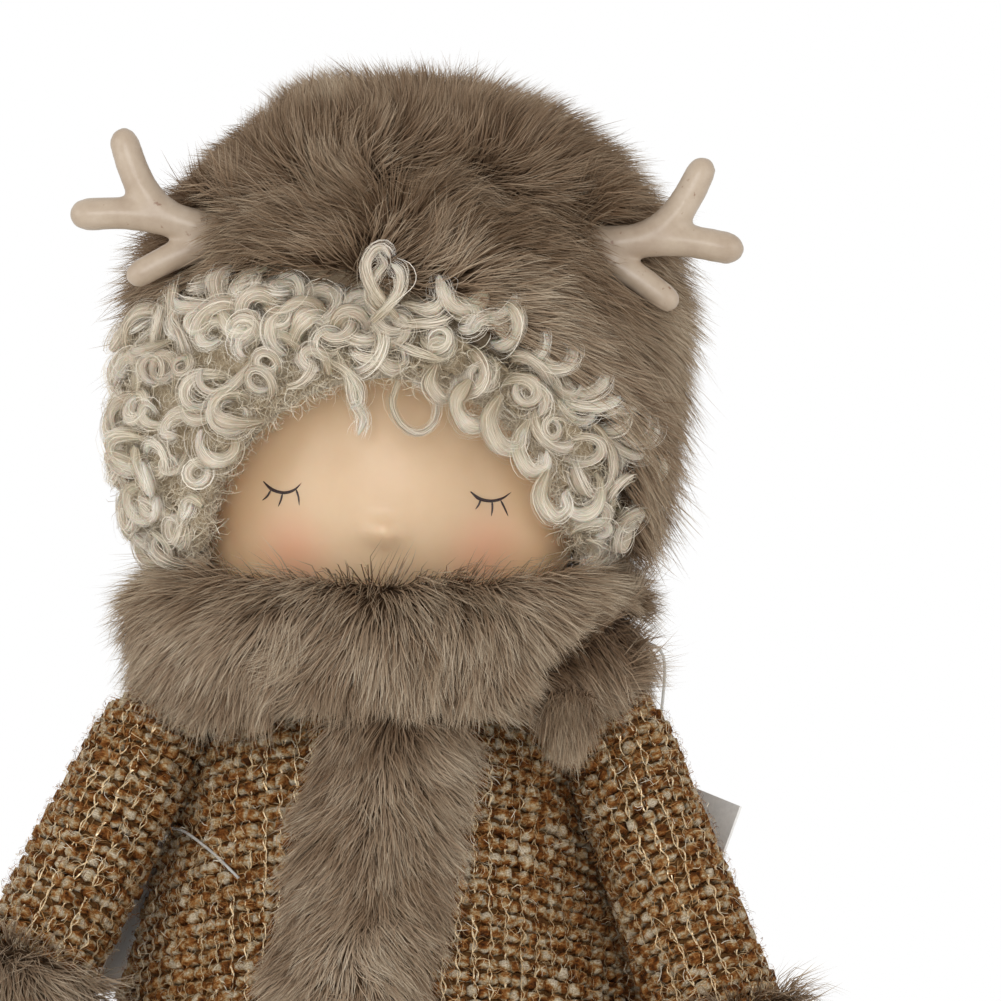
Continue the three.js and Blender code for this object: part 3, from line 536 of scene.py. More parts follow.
def cover_with_fur(
    name, node, skin, count, seed, keep, lay, length,
    stand=0.4, droop=0.25, clump=0.55, swirl=0.02, spare=None, shade=None,
):
    """A dense under-coat and its guard hairs over a skin, in meshes of a fair size. Spare drops some."""
    layers = (
        ("under", under_hair, count, 1.0, UNDER_RADIUS),
        ("guard", guard_hair, count // GUARD_SHARE, GUARD_REACH, GUARD_RADIUS),
    )
    for layer, strand, number, share, radius in layers:
        roots, normals = scatter_roots(skin, number, seed + 5, keep)
        tone = 0.5 + 0.15 * waves(roots, swirl, seed + 1) + 0.08 * waves(roots, swirl / 3, seed + 2)
        tone += shade(roots) if shade else 0
        upright = stand(normals) if callable(stand) else stand
        reach = share * (length(roots) if callable(length) else length)
        points, uv = grow_fur(
            strand, roots, normals, lay(roots), reach, radius, upright, droop, clump, seed + 3, tone
        )
        hairs = np.arange(number)
        if spare:
            tips, middles = points[:, strand.along > 0.99].mean(1), points[:, strand.ring == 1].mean(1)
            hairs = hairs[spare(tips, middles)]
        parts = math.ceil(len(hairs) * len(strand.faces) / MOST_TRIANGLES)
        for part, chosen in enumerate(np.array_split(hairs, parts)):
            label = f"{name}_{layer}" if parts == 1 else f"{name}_{layer}_{part + 1}"
            mesh = mesh_of_copies(label, strand, points[chosen], uv[chosen])
            place_piece(label, mesh, taupe_fur, node)
    print(name, count + count // GUARD_SHARE, "hairs")


# %% [markdown]
# One shader group colours every pile on this doll: dark and warm at the root, its own colour along the hair
# and paler at the tip, where the light has bleached it. The strand's UV map tells how far along the hair a
# point is, and which tone the hair has.

# %% Pile colour
pile_group = bpy.data.node_groups.new("pile_colour", "ShaderNodeTree")
for label in ("Root", "Body", "Tip"):
    pile_group.interface.new_socket(label, in_out="INPUT", socket_type="NodeSocketColor")
for label in ("Dark", "Light"):
    pile_group.interface.new_socket(label, in_out="INPUT", socket_type="NodeSocketFloat")
pile_group.interface.new_socket("Place", in_out="INPUT", socket_type="NodeSocketVector")
pile_group.interface.new_socket("Color", in_out="OUTPUT", socket_type="NodeSocketColor")


def build_pile_colour(tree):
    """Root to tip colours, made darker and warmer, or lighter, by the hair's tone."""
    given = tree.nodes.new("NodeGroupInput").outputs
    place = add_node(tree, "ShaderNodeSeparateXYZ", Vector=given["Place"])
    lower = blend_colours(tree, between(tree, place.outputs["X"], 0.05, 0.5), given["Root"], given["Body"])
    whole = blend_colours(tree, between(tree, place.outputs["X"], 0.55, 1.0), lower, given["Tip"])
    level = add_node(tree, "ShaderNodeMapRange", Value=place.outputs["Y"])
    tree.links.new(given["Dark"], level.inputs["To Min"])
    tree.links.new(given["Light"], level.inputs["To Max"])
    red = level.outputs[0]
    green, blue = (
        add_node(tree, "ShaderNodeMath", {"operation": "POWER"}, _0=red, _1=power).outputs[0]
        for power in (1.25, 1.5)
    )
    warm = add_node(tree, "ShaderNodeCombineColor", _0=red, _1=green, _2=blue).outputs[0]
    result = blend_colours(tree, 1.0, whole, warm, "MULTIPLY")
    tree.links.new(result, tree.nodes.new("NodeGroupOutput").inputs["Color"])


build_pile_colour(pile_group)


def pile_finish(name, root, body, tip, dark, light, streaks=0, **sockets):
    """A pile of strands with its own colours. Streaks are the fine hairs that a thick strand shows, with painted
    shade in the lines between them.
    """
    finish, shader = new_finish(name, **sockets)
    tree = finish.node_tree
    chart = add_node(tree, "ShaderNodeUVMap", {"uv_map": "OFBake"}).outputs["UV"]
    given = {"Root": tint(root), "Body": tint(body), "Tip": tint(tip), "Dark": dark, "Light": light}
    group = add_node(tree, "ShaderNodeGroup", {"node_tree": pile_group}, Place=chart, **given)
    colour = group.outputs["Color"]
    if streaks:
        fine = noise(tree, 1, 3, 0.65, stretched(tree, chart, (5, streaks, 1)))
        # The darker lines of the streaks are painted shade between the fine hairs, not a colour of the mohair.
        painted_gap_shade = ramp(tree, fine, [(0.3, "c4bcad"), (0.62, "ffffff")])
        colour = blend_colours(tree, 1.0, colour, painted_gap_shade, "MULTIPLY")
        raise_by(tree, shader, fine, distance=0.0004, strength=0.85)
    tree.links.new(colour, shader.inputs["Base Color"])
    return finish


taupe_fur = pile_finish(
    "taupe_fur", root="523d29", body="99826a", tip="c2b199", dark=0.48, light=1.42,
    Roughness=0.6, Specular_IOR_Level=0.3,
)
backing, _ = clouded(
    "fur_backing", scale=900, stops=[(0.3, "4a3828"), (0.7, "6b5541")],
    Roughness=0.95, Specular_IOR_Level=0.1,
)
print("fur finish ready")

# %% [markdown]
# The hat is a deep fur bonnet, tilted back with its rim low on one side of the brow. Its hairs are among
# the longest on the doll. In front they stand up at the top, part towards the antlers and fall outwards at
# the sides, and a few darker hollows show where the pile opens. At the back the pile is combed straight
# down.

# %% Hat
hat_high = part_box("hat_crown")[1]
HAT_MIDDLE = box_middle("hat_crown")
HAT_PILE = 0.0085
PARTING = spot(300, 190, -0.04).z
FACE_MIDDLE = spot(389, 557, -0.04)
RIM_WATCH = 0.085


def from_window(places):
    """How far places are from the middle of the face, as seen from the front."""
    return np.linalg.norm((places - np.array(FACE_MIDDLE))[..., ::2], axis=-1)


def thinner_outside(middle, pile):
    """Draws only the outer side of a shell in, to leave room for its pile."""

    def change(places, normals):
        facing = (unit(places - np.array(middle)) * normals).sum(1)
        return places - normals * (pile * np.clip(facing * 1.5, 0, 1))[:, None]

    return change


def outside_of(middle):
    """Weights that keep hair on the side of a shell that faces away from its middle."""

    def weight(places, normals):
        facing = (unit(places - np.array(middle)) * normals).sum(1)
        return np.clip((facing - 0.05) * 4, 0, 1)

    return weight


def hat_lay(places):
    """In front the pile is combed up and back above the parting, and sideways below it, but never towards the
    face. Behind it falls straight down."""
    away = places - np.array(HAT_MIDDLE)
    front = part_way(0.014 - places[:, 1], 0.03)
    crown = part_way(places[:, 2] - hat_high.z + 0.03, 0.02)
    above = front * np.tanh((places[:, 2] - PARTING) / 0.008) - (1 - front)
    field = np.zeros_like(places)
    field[:, 0] = away[:, 0] / 0.036 + 0.2 * front + 0.4 * waves(places, 0.05, 3)
    field[:, 1] = 0.7 * crown + 0.3 * waves(places, 0.05, 5)
    field[:, 2] = 0.9 * above - 0.1 + 0.35 * waves(places, 0.045, 7)
    field[:, 2] -= 0.55 * (1 - above) * part_way(places[:, 0] - spot(420, 0).x, 0.02)
    tousled = 0.3 + 0.6 * front * hump(places[:, 2] - PARTING, 0.01)
    field += tousled[:, None] * tousle(places, 0.016, 8)
    to_face = unit((np.array(FACE_MIDDLE) - places) * np.array([1, 0, 1]))
    near = part_way(RIM_WATCH - from_window(places), 0.02)
    inward = np.maximum((field * to_face).sum(1) + 0.25, 0) * near
    return field - to_face * inward[:, None]


HAIR_EDGE = [(60, 345), (120, 322), (170, 300), (212, 288), (250, 302), (290, 300), (325, 294), (346, 304),
             (352, 264), (372, 247), (390, 266), (402, 298), (430, 294), (463, 290), (492, 304), (527, 334),
             (565, 354), (600, 388), (634, 422), (650, 470), (657, 520)]
hair_edge = [spot(*pixel, -0.045) for pixel in HAIR_EDGE]
antler_surfaces = [surface_of(frame["nodes"][node].data) for node in ("antler_left", "antler_right")]
ROOT_ZONE = (spot(196, 0, -0.02).x, spot(616, 0, -0.02).x)


def hat_stand(normals):
    """The pile stands upright on top and lies lower at the sides."""
    return 0.5 + 0.32 * np.clip(normals[:, 2:3] * 1.3, 0, 1)


def hat_length(places):
    """The pile is cut a little shorter at the low side of the hat and longer at the other."""
    low_side = part_way(spot(320, 0).x - places[:, 0], 0.01)
    upper = part_way(places[:, 2] - spot(0, 215).z, 0.006)
    far_side = part_way(places[:, 0] - spot(560, 0).x, 0.014)
    return 0.0135 * (1 - 0.28 * low_side * upper + 0.25 * far_side)


def crown_shade(places):
    """The crown is darker than the sides, and less so on the doll's left side."""
    high = part_way(places[:, 2] - spot(0, 300).z, 0.012)
    side = part_way(places[:, 0] - spot(580, 0).x, 0.01)
    return -0.3 * high * (1 - 0.6 * side)


def beside_antlers(tips, middles):
    """Tells the hairs that don't hang over the curls or in front of an antler."""
    edge = np.interp(tips[:, 0], [place.x for place in hair_edge], [place.z for place in hair_edge])
    over_curls = (tips[:, 1] < 0.002) & (tips[:, 2] < edge - 0.0025) & (tips[:, 0] < hair_edge[-1].x)
    clear = ~over_curls
    ragged = 0.0016 * np.random.default_rng(19).normal(size=len(tips))
    outer = (tips[:, 0] < ROOT_ZONE[0] + ragged) | (tips[:, 0] > ROOT_ZONE[1] + ragged)
    for i in np.flatnonzero(clear & outer & (tips[:, 1] < 0)):
        for place in (Vector(tips[i]), Vector(middles[i])):
            for surface in antler_surfaces:
                behind = surface.ray_cast(place, Vector((0, 1, 0)), 0.03)[0]
                if behind or surface.find_nearest(place, 0.001)[0]:
                    clear[i] = False
    return clear


def hat_form(places, normals):
    """Room for the pile, and a hollow round the root of each antler."""
    places = thinner_outside(HAT_MIDDLE, HAT_PILE)(places, normals)
    touching = [any(s.find_nearest(Vector(place), 0.0025)[0] for s in antler_surfaces) for place in places]
    return places + unit(np.array(HAT_MIDDLE) - places) * 0.004 * np.array(touching)[:, None]


hat_skin = soft_copy("hat_crown", voxel=0.0023, rounds=8, change=hat_form)
hat_surface = surface_of(hat_skin)
place_piece("hat_pelt", hat_skin, backing, "hat_crown", ["hat_crown"])
cover_with_fur(
    "hat_fur", "hat_crown", hat_skin, count=114000, seed=11, keep=outside_of(HAT_MIDDLE), lay=hat_lay,
    length=hat_length, stand=hat_stand, droop=0.1, clump=0.5, swirl=0.03, spare=beside_antlers,
    shade=crown_shade,
)

# %% [markdown]
# The scarf is a thick roll of the same fur. In front its pile hangs straight down, and towards the sides it
# is brushed outwards, so its outline is ragged there. It goes round twice, and a slanting fold shows where
# the upper turn crosses the lower one. One end comes down over the doll's left shoulder.

# %% Scarf
scarf_low, scarf_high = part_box("scarf_loop")
SCARF_MIDDLE = box_middle("scarf_loop")
TAIL_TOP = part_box("scarf_tail")[1].z
TAIL_MIDDLE = box_middle("scarf_tail").x


def from_fold(places):
    """How far places are above the slanting fold where the scarf's upper turn crosses the lower one."""
    start = spot(640, 607)
    return places[:, 2] - start.z - (places[:, 0] - start.x) * 0.51


def near_fold(places, wide=0.0022):
    """1 in the fold and 0 away from it. It fades out at both of its ends."""
    fades = part_way(places[:, 0] - spot(530, 0).x, 0.006) * (places[:, 1] < 0)
    fades = fades * part_way(spot(626, 0).x - places[:, 0], 0.006)
    return fades * hump(from_fold(places) + 0.001, wide)


def scarf_form(places, normals):
    """Room for the pile, the slanting fold, and a sag on to each shoulder."""
    inward = 0.0048 - 0.0022 * np.clip(normals[:, 2], 0, 1) - 0.001 * np.clip(-normals[:, 2], 0, 1)
    places = places - normals * (inward + 0.004 * near_fold(places))[:, None]
    beside = hump(np.abs(places[:, 0] - SCARF_MIDDLE.x) - 0.037, 0.013)
    places[:, 2] -= 0.0075 * beside * part_way(SCARF_MIDDLE.z - places[:, 2], 0.008)
    return places


def away_from_axis(middle, spread=0.4):
    """Weights for the outer side of a ring that lies round an upright axis, with some hair on its edges."""
    axis = np.array([middle[0], middle[1]])

    def weight(places, normals):
        facing = (unit(places[:, :2] - axis) * normals[:, :2]).sum(1)
        return np.clip(facing + spread, 0, 1)

    return weight


def scarf_lay(places):
    """Down in front, outwards at the sides."""
    side = (places[:, 0] - SCARF_MIDDLE.x) / 0.05
    field = np.zeros_like(places)
    field[:, 0] = 1.5 * np.sign(side) * np.abs(side) ** 1.4 + 0.3 * waves(places, 0.03, 23)
    field[:, 1] = 0.15 * waves(places, 0.03, 29)
    field[:, 2] = -1.0 + 0.7 * np.abs(side) + 0.3 * waves(places, 0.025, 31)
    top = part_way(places[:, 2] - scarf_high.z + 0.009, 0.007)[:, None]
    away = unit((places - np.array(SCARF_MIDDLE)) * np.array([1, 1, 0]))
    raised = np.zeros_like(places)
    raised[:, 0] = 0.2
    raised[:, 2] = 0.3 + 0.35 * part_way(places[:, 0] - spot(490, 0).x, 0.01)
    field += top * (1.3 * away + raised)
    beside = part_way(places[:, 0] - spot(540, 0).x, 0.008)
    field[:, 2] += beside * np.where(from_fold(places) > 0, 0.8, 0.25)
    shoulder = part_way(SCARF_MIDDLE.z - 0.003 - places[:, 2], 0.006) * np.clip(-side, 0, 1)
    over_end = hump(places[:, 0] - TAIL_MIDDLE, 0.009) * (from_fold(places) < 0)
    field[:, 2] -= 1.3 * shoulder + 1.5 * over_end
    return field + 0.3 * (1 - 0.6 * top) * tousle(places, 0.012, 32)


def scarf_length(places):
    """Hair is shorter along the lower edge in front, and in and above the fold, where it is tucked under."""
    low = part_way(scarf_low.z + 0.014 - places[:, 2], 0.012)
    middle = np.clip(1.3 - np.abs(places[:, 0] - SCARF_MIDDLE.x) / 0.03, 0, 1)
    length = 0.0138 * (1 - 0.42 * low * middle) * (1 - 0.5 * near_fold(places, 0.002))
    above = from_fold(places)
    beside = part_way(places[:, 0] - spot(495, 0).x, 0.008) * (places[:, 1] < 0) * (above > -0.001)
    beside = beside * part_way(spot(632, 0).x - places[:, 0], 0.007)
    tucked = np.clip(above + 0.0014, 0.0034, 0.0138)
    outer = part_way(places[:, 0] - spot(600, 0).x, 0.008) * (above < 0.002)
    return (length + np.minimum(tucked - length, 0) * beside * (1 - outer)) * (1 + 0.3 * outer)


def scarf_painted_light(places):
    """Painted light and shade: lighter above, darker below, and darkest in the fold, where the upper turn shades
    the lower one.
    """
    height = np.clip((places[:, 2] - SCARF_MIDDLE.z) / 0.014, -1, 1)
    return 0.13 * height - 0.85 * near_fold(places, 0.0015)


scarf_skin = soft_copy("scarf_loop", voxel=0.002, rounds=6, change=scarf_form)
scarf = place_piece("scarf_roll", scarf_skin, backing, "scarf_loop", ["scarf_loop"])
cover_with_fur(
    "scarf_fur", "scarf_loop", scarf_skin, count=52000, seed=37, keep=away_from_axis(SCARF_MIDDLE, 0.55),
    lay=scarf_lay, length=scarf_length, clump=0.62, swirl=0.013, shade=scarf_painted_light,
)

# %% [markdown]
# The end of the scarf is a short flap of the same fur. Its skin stops half way down, and the hair hangs on
# below it and comes together in a point, as at the cut end of a pelt.

# %% Scarf end


def tucked_up(places, normals):
    """The end's skin is short and goes back under the scarf. The lower half of its length is hair."""
    places[:, 2] = TAIL_TOP + 0.002 - (TAIL_TOP - places[:, 2]) * 0.5
    places[:, 0] += (TAIL_MIDDLE - places[:, 0]) * 0.25
    places[:, 1] += 0.0025 * part_way(places[:, 2] - TAIL_TOP + 0.006, 0.008)
    return places - normals * 0.0022


tail_skin = soft_copy("scarf_tail", voxel=0.001, rounds=8, change=tucked_up)
scarf_end = place_piece("scarf_end", tail_skin, backing, "scarf_tail", ["scarf_tail"])


def hanging(places):
    """Forwards over the top, down, and in towards a point."""
    field = np.array([0.1, -0.7, -1.0]) * np.ones((len(places), 1))
    field[:, 0] += (TAIL_MIDDLE - places[:, 0]) / 0.014
    return field + 0.2 * tousle(places, 0.006, 43)


def end_weight(places, normals):
    """Hair grows mostly on the front and the top of the end."""
    return 0.3 + np.clip(-normals[:, 1], 0, 1) + 0.8 * np.clip(normals[:, 2], 0, 1)


def end_shade(places):
    """The end is darker at its top, where the scarf shades it."""
    return -0.35 * part_way(places[:, 2] - TAIL_TOP + 0.006, 0.006)


cover_with_fur(
    "scarf_end_fur", "scarf_tail", tail_skin, count=5000, seed=47, keep=end_weight, lay=hanging,
    length=0.0125, stand=0.12, droop=1.3, clump=0.75, shade=end_shade,
)

# %% [markdown]
# The same pile edges the coat: a band down its front, a cuff on each sleeve, a border round the hem and a
# collar on each boot. Each is combed in its own way: a band down the front falls to both sides, and a ring
# opens away from its middle.

# %% Fur edges


def edge_fur(
    node, name, count, seed, lay, keep, length=0.0105, stand=0.4, inward=0.003, voxel=0.0015, change=None
):
    """The backing and the pile of one fur edge."""

    def drawn_in(places, normals):
        """Only the sides that carry hair are drawn in, so the edge still touches what it is sewn to."""
        places = places - normals * (inward * np.clip(3.5 * keep(places, normals), 0, 1))[:, None]
        return change(places, normals) if change else places

    skin = soft_copy(node, voxel=voxel, rounds=5, change=drawn_in)
    backing_piece = place_piece(f"{name}_backing", skin, backing, node, [node])
    cover_with_fur(name, node, skin, count, seed, keep, lay, length, stand)


def ring_lay(middle, out, down, seed):
    """A pile that opens away from an upright axis."""

    def lay(places):
        away = unit((places - np.array(middle)) * np.array([1, 1, 0]))
        field = out * away + np.array([0, 0, -down])
        return field + 0.4 * tousle(places, 0.02, seed)

    return lay


band_low, band_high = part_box("coat_placket")
BAND_HALF = 0.0145


def band_middle(height):
    """Where the middle of the front band is, across the doll, at a height."""
    down = (band_high.z - height) / (band_high.z - band_low.z)
    return band_high.x - BAND_HALF + (band_low.x - band_high.x + 2 * BAND_HALF) * down


def band_lay(places):
    """Down the coat, parting to both sides, and most of all at the top."""
    field = np.zeros_like(places)
    parting = np.interp(places[:, 2], [0.2, 0.246], [38, 92])
    field[:, 0] = (places[:, 0] - band_middle(places[:, 2])) * parting + 0.45 * waves(places, 0.02, 61)
    field[:, 2] = -1.1 + 0.4 * waves(places, 0.02, 67)
    return field + 0.38 * tousle(places, 0.009, 69)


def up_to_scarf(places, normals):
    """Draws the top of the band up under the scarf."""
    places[:, 2] += 0.006 * part_way(places[:, 2] - band_high.z + 0.02, 0.02)
    return places


def band_weight(places, normals):
    """Hair grows on the front and both edges of the band, and not on its top."""
    return np.clip(0.3 - normals[:, 1], 0, 1) * (normals[:, 2] < 0.6)


edge_fur(
    "coat_placket", "front_band", count=19000, seed=71, lay=band_lay, keep=band_weight, change=up_to_scarf
)
HEM_MIDDLE = box_middle("hem_trim")
hem_lay = ring_lay(HEM_MIDDLE, out=0.5, down=1.0, seed=83)
hem_keep = away_from_axis(HEM_MIDDLE, 0.35)
edge_fur("hem_trim", "hem", count=20000, seed=79, lay=hem_lay, keep=hem_keep, voxel=0.002)
for side, seed in (("left", 89), ("right", 97)):
    boot_top = f"boot_trim_{side}"
    middle = box_middle(boot_top)
    lay = ring_lay(middle, out=0.6, down=0.7, seed=seed)
    keep = away_from_axis(middle)
    edge_fur(boot_top, f"boot_top_{side}", count=5500, seed=seed, lay=lay, keep=keep, length=0.008)

# %% [markdown]
# Each arm hangs from its shoulder along a slanting line. That line is found from the solids: it starts at
# the joint and runs through the middle of the cuff. Cuff hair, sleeve yarn and mitten all follow it.

# %% Arm lines


def middle_of(node):
    """The mean of a solid's points."""
    places = np.array([vert.co for vert in frame["nodes"][node].data.vertices])
    return Vector(places.mean(0))


arm_lines = {}
for side in ("left", "right"):
    shoulder = joint_at[f"{side}_shoulder"]
    arm_lines[side] = (shoulder, (middle_of(f"cuff_{side}") - shoulder).normalized())
    print(side, "arm runs along", [round(value, 3) for value in arm_lines[side][1]])

# %% [markdown]
# A cuff is a short tube of fur. Its hair opens out from the arm and leans down along it. In the picture one
# cuff sits further down its arm than the other, so each is slid along its own arm's line.

# %% Cuffs
CUFF_SLIDE = {"left": 0.0035, "right": -0.007}
for side, seed in (("left", 101), ("right", 103)):
    start, line = arm_lines[side]
    middle = middle_of(f"cuff_{side}")

    def from_line(places, line=line, middle=middle):
        """The way straight out from the arm's line."""
        reach = places - np.array(middle)
        along = (reach @ np.array(line))[:, None] * np.array(line)
        return reach - along

    def cuff_lay(places, line=line, from_line=from_line, seed=seed):
        field = 0.8 * unit(from_line(places)) + 0.55 * np.array(line)
        return field + 0.45 * tousle(places, 0.016, seed)

    def cuff_keep(places, normals, from_line=from_line):
        return np.clip((unit(from_line(places)) * normals).sum(1) + 0.45, 0, 1)

    def slid_along(places, normals, line=line, far=CUFF_SLIDE[side]):
        """Each cuff sits where the picture shows it, a few millimetres up or down its arm."""
        return places + far * np.array(line)

    edge_fur(
        f"cuff_{side}", f"cuff_{side}", count=11000, seed=seed, lay=cuff_lay, keep=cuff_keep,
        length=0.0135, stand=0.5, change=slid_along,
    )

# %% [markdown]
# The wig is curled mohair. Over a base of fine frizz lie combed locks. Each runs off flat and rolls up more
# and more towards its end. A lock is a soft core, wider than thick, with a layer of fine hairs combed along
# it. So it shows streaks and a loose edge, and it thins to a wisp at its end.

# %% Wig
wig_skin = soft_copy("curly_wig", voxel=0.0016, rounds=6, inward=0.0032)
hair_backing, _ = clouded(
    "hair_backing", scale=700, stops=[(0.3, "a8957a"), (0.7, "c8b89d")],
    Roughness=0.9, Specular_IOR_Level=0.1,
)
place_piece("wig_base", wig_skin, hair_backing, "curly_wig", ["curly_wig"])
mohair = pile_finish(
    "mohair", root="d6c9b1", body="eee5d5", tip="f6f1e8", dark=0.86, light=1.08,
    Roughness=0.5, Specular_IOR_Level=0.3,
)
mohair_core = pile_finish(
    "mohair_core", root="c6b89f", body="e6dccb", tip="f2ebdf", dark=0.75, light=1.1, streaks=520,
    Roughness=0.5, Subsurface_Weight=0.3,
)
mohair_frizz = pile_finish(
    "mohair_frizz", root="b8a68a", body="d9ccb3", tip="e9dfcd", dark=0.68, light=1.25, Roughness=0.5
)

LOCK_STEPS = 18
TONE_ROWS = 16
WINDOW_RADIUS = 0.0353
HAIRS_IN_A_MESH = 5000
LOCK_TRIES = 2500
mohair_core.node_tree.nodes["Principled BSDF"].inputs["Subsurface Scale"].default_value = 0.0012
lock_core = Strand(bands=LOCK_STEPS - 1, sides=8)
lock_core.spread = lock_core.spread * np.array([1.25, 0.8])
lock_hair = Strand(bands=LOCK_STEPS - 1, sides=2)
lock_steps = np.linspace(0, 1, LOCK_STEPS)


def curl_path(root, normal, ahead, dice, length, turning, lift):
    """A lock that runs off one way and rolls up more and more towards its end."""
    ahead = unit(ahead - normal * (ahead @ normal))
    tilt = dice.uniform(-0.6, 0.6)
    up = np.cross(normal, ahead) * math.cos(tilt) + normal * math.sin(tilt)
    sway = 0.45 * np.sin(lock_steps * 5 + dice.uniform(0, math.tau))
    angle = dice.choice([-1, 1]) * (turning * (lock_steps**1.4 - 0.3) + sway)
    heading = np.cos(angle)[:, None] * ahead + np.sin(angle)[:, None] * up
    line = np.cumsum(heading, 0) * length / LOCK_STEPS
    rise = lift + 0.0024 * np.sin(math.pi * lock_steps) + 0.001 * lock_steps
    return root + line - line.mean(0) + normal * rise[:, None]


def comb_locks(name, paths, facings, widths, seed, per_lock=50):
    """The cores of locks along paths, and the fine hairs that lie along them."""
    dice = np.random.default_rng(seed)
    count = len(paths)
    taper = np.interp(lock_steps, [0, 0.14, 0.5, 0.85, 1], [0.4, 0.95, 1, 0.65, 0.22])
    lumps = 1 + 0.18 * np.sin(lock_steps * dice.uniform(5, 13, (count, 1)) + dice.uniform(0, 6, (count, 1)))
    full = widths[:, None] * taper * lumps
    tone = np.clip(0.5 + 0.2 * dice.normal(size=count), 0.02, 0.95)
    rows = np.floor(tone * TONE_ROWS)[:, None]
    chart = (rows + 0.08 + 0.84 * lock_core.fold[None]) / TONE_ROWS
    points = sweep(lock_core, paths, 0.85 * full, facings)
    cores = mesh_of_copies(f"{name}_cores", lock_core, points, chart_uv(lock_core, chart))
    place_piece(f"{name}_cores", cores, mohair_core, "curly_wig")
    ahead, side, other = frames_along(paths, facings)
    shape = (count, per_lock, 1)
    turn = dice.uniform(0, math.tau, shape) + 1.2 * dice.normal(size=shape) * lock_steps
    far = dice.uniform(0.78, 1.12, shape) * full[:, None] + 0.00015 * np.abs(dice.normal(size=shape))
    stray = np.sin(lock_steps * dice.uniform(3, 9, shape) + dice.uniform(0, 6, shape))
    far = far + (dice.random(shape) < 0.25) * dice.uniform(0.0003, 0.0012, shape) * stray
    far = far + 0.0006 * np.abs(dice.normal(size=shape)) * lock_steps**2
    far = far + 0.00012 * np.sin(lock_steps * dice.uniform(8, 20, shape) + dice.uniform(0, 6, shape))
    out = 1.25 * np.cos(turn)[..., None] * side[:, None] + 0.82 * np.sin(turn)[..., None] * other[:, None]
    hairs = (paths[:, None] + far[..., None] * out).reshape(-1, LOCK_STEPS, 3)
    middles = np.repeat(paths.mean(1), per_lock, 0)[:, None]
    hairs += (hairs - middles) * 0.06 * dice.normal(size=(len(hairs), 1, 1))
    thick = 0.00005 * np.interp(lock_steps, [0, 0.1, 0.8, 1], [0.5, 1, 0.8, 0.2])
    radii = thick * dice.uniform(0.5, 1.4, (len(hairs), 1))
    points = sweep(lock_hair, hairs, radii, out[:, :, 0].reshape(-1, 3))
    shade = np.clip(np.repeat(tone, per_lock) + 0.15 * dice.normal(size=len(hairs)), 0.02, 0.98)
    uv = chart_uv(lock_hair, shade[:, None])
    meshes = math.ceil(len(hairs) / HAIRS_IN_A_MESH)
    for part, chosen in enumerate(np.array_split(np.arange(len(hairs)), meshes), 1):
        hair_mesh = mesh_of_copies(f"{name}_hairs_{part}", lock_hair, points[chosen], uv[chosen])
        place_piece(f"{name}_hairs_{part}", hair_mesh, mohair, "curly_wig")
    print(name, count, "locks with", len(hairs), "hairs")


def wig_share(places, normals):
    """Locks go where the wig shows: on its outside and rim, and not under the hat."""
    away = unit(places - np.array([CENTRE_LINE, 0, CHIN + 0.05]))
    outer = np.clip((away * normals).sum(1) * 3, 0, 1)
    rim = (places[:, 1] < -0.02) & (normals[:, 1] < -0.3)
    bare = []
    for place, normal in zip(places, normals):
        above = hat_surface.ray_cast(Vector(place), Vector(normal), 0.014)[0]
        before = hat_surface.ray_cast(Vector(place), Vector((0, -1, 0)), 0.05)[0]
        bare.append(above is None or (before is None and normal[1] < -0.1))
    return np.maximum(outer, rim) * np.array(bare) * (from_window(places) > WINDOW_RADIUS + 0.001)


def spread_out(roots, normals, apart):
    """Drops roots that are too close to earlier ones, so that locks don't pile up."""
    kept = []
    for i, root in enumerate(roots):
        if all(np.linalg.norm(root - roots[j]) > apart for j in kept):
            kept.append(i)
    return roots[kept], normals[kept]


def clear_of_face(path, outward):
    """A lock's path, moved out where it would hang into the face."""
    over = max(WINDOW_RADIUS + 0.0005 - from_window(path).min(), 0) * (path[:, 1].min() < -0.01)
    return path + outward * over


def heap_of_locks(name, seed, apart, per_lock):
    """Rolled locks all over the part of the wig that shows."""
    dice = np.random.default_rng(seed)
    roots, normals = spread_out(*scatter_roots(wig_skin, LOCK_TRIES, seed, wig_share), apart)
    paths = []
    for root, normal in zip(roots, normals):
        outward = unit((root - np.array(FACE_MIDDLE)) * np.array([1, 0, 1]))
        ahead = 0.6 * outward + np.array([0, 0, -0.7]) + 0.7 * dice.normal(size=3)
        length = dice.uniform(0.014, 0.023)
        turning = dice.uniform(3.5, 7.5)
        lift = dice.uniform(0.0008, 0.002)
        path = curl_path(root, normal, ahead, dice, length, turning, lift)
        paths.append(clear_of_face(path, outward))
    widths = dice.uniform(0.0009, 0.0016, len(paths))
    comb_locks(name, np.array(paths), normals, widths, seed + 1, per_lock)


heap_of_locks("wig_under_locks", seed=107, apart=0.007, per_lock=26)
heap_of_locks("wig_upper_locks", seed=109, apart=0.007, per_lock=46)

# %% [markdown]
# Along the edge of the hat the hair is fluffed up. Broad tufts lie there, mostly along the edge, and hide
# where the wig goes under the fur. Each is laid on whatever shows at its place in the picture.

# %% Tufts along the hat
TUFTS = 58
border_surfaces = [hat_surface, surface_of(wig_skin)]


def seen_at(across, down):
    """Where the line of sight through a pixel meets the hat or the wig, and the way out of it there."""
    aim = spot(across, down, -0.09)
    way = (aim - camera.location).normalized()
    hits = [surface.ray_cast(aim, way)[:2] for surface in border_surfaces]
    return min((hit for hit in hits if hit[0]), key=lambda hit: hit[0].y, default=(None, None))


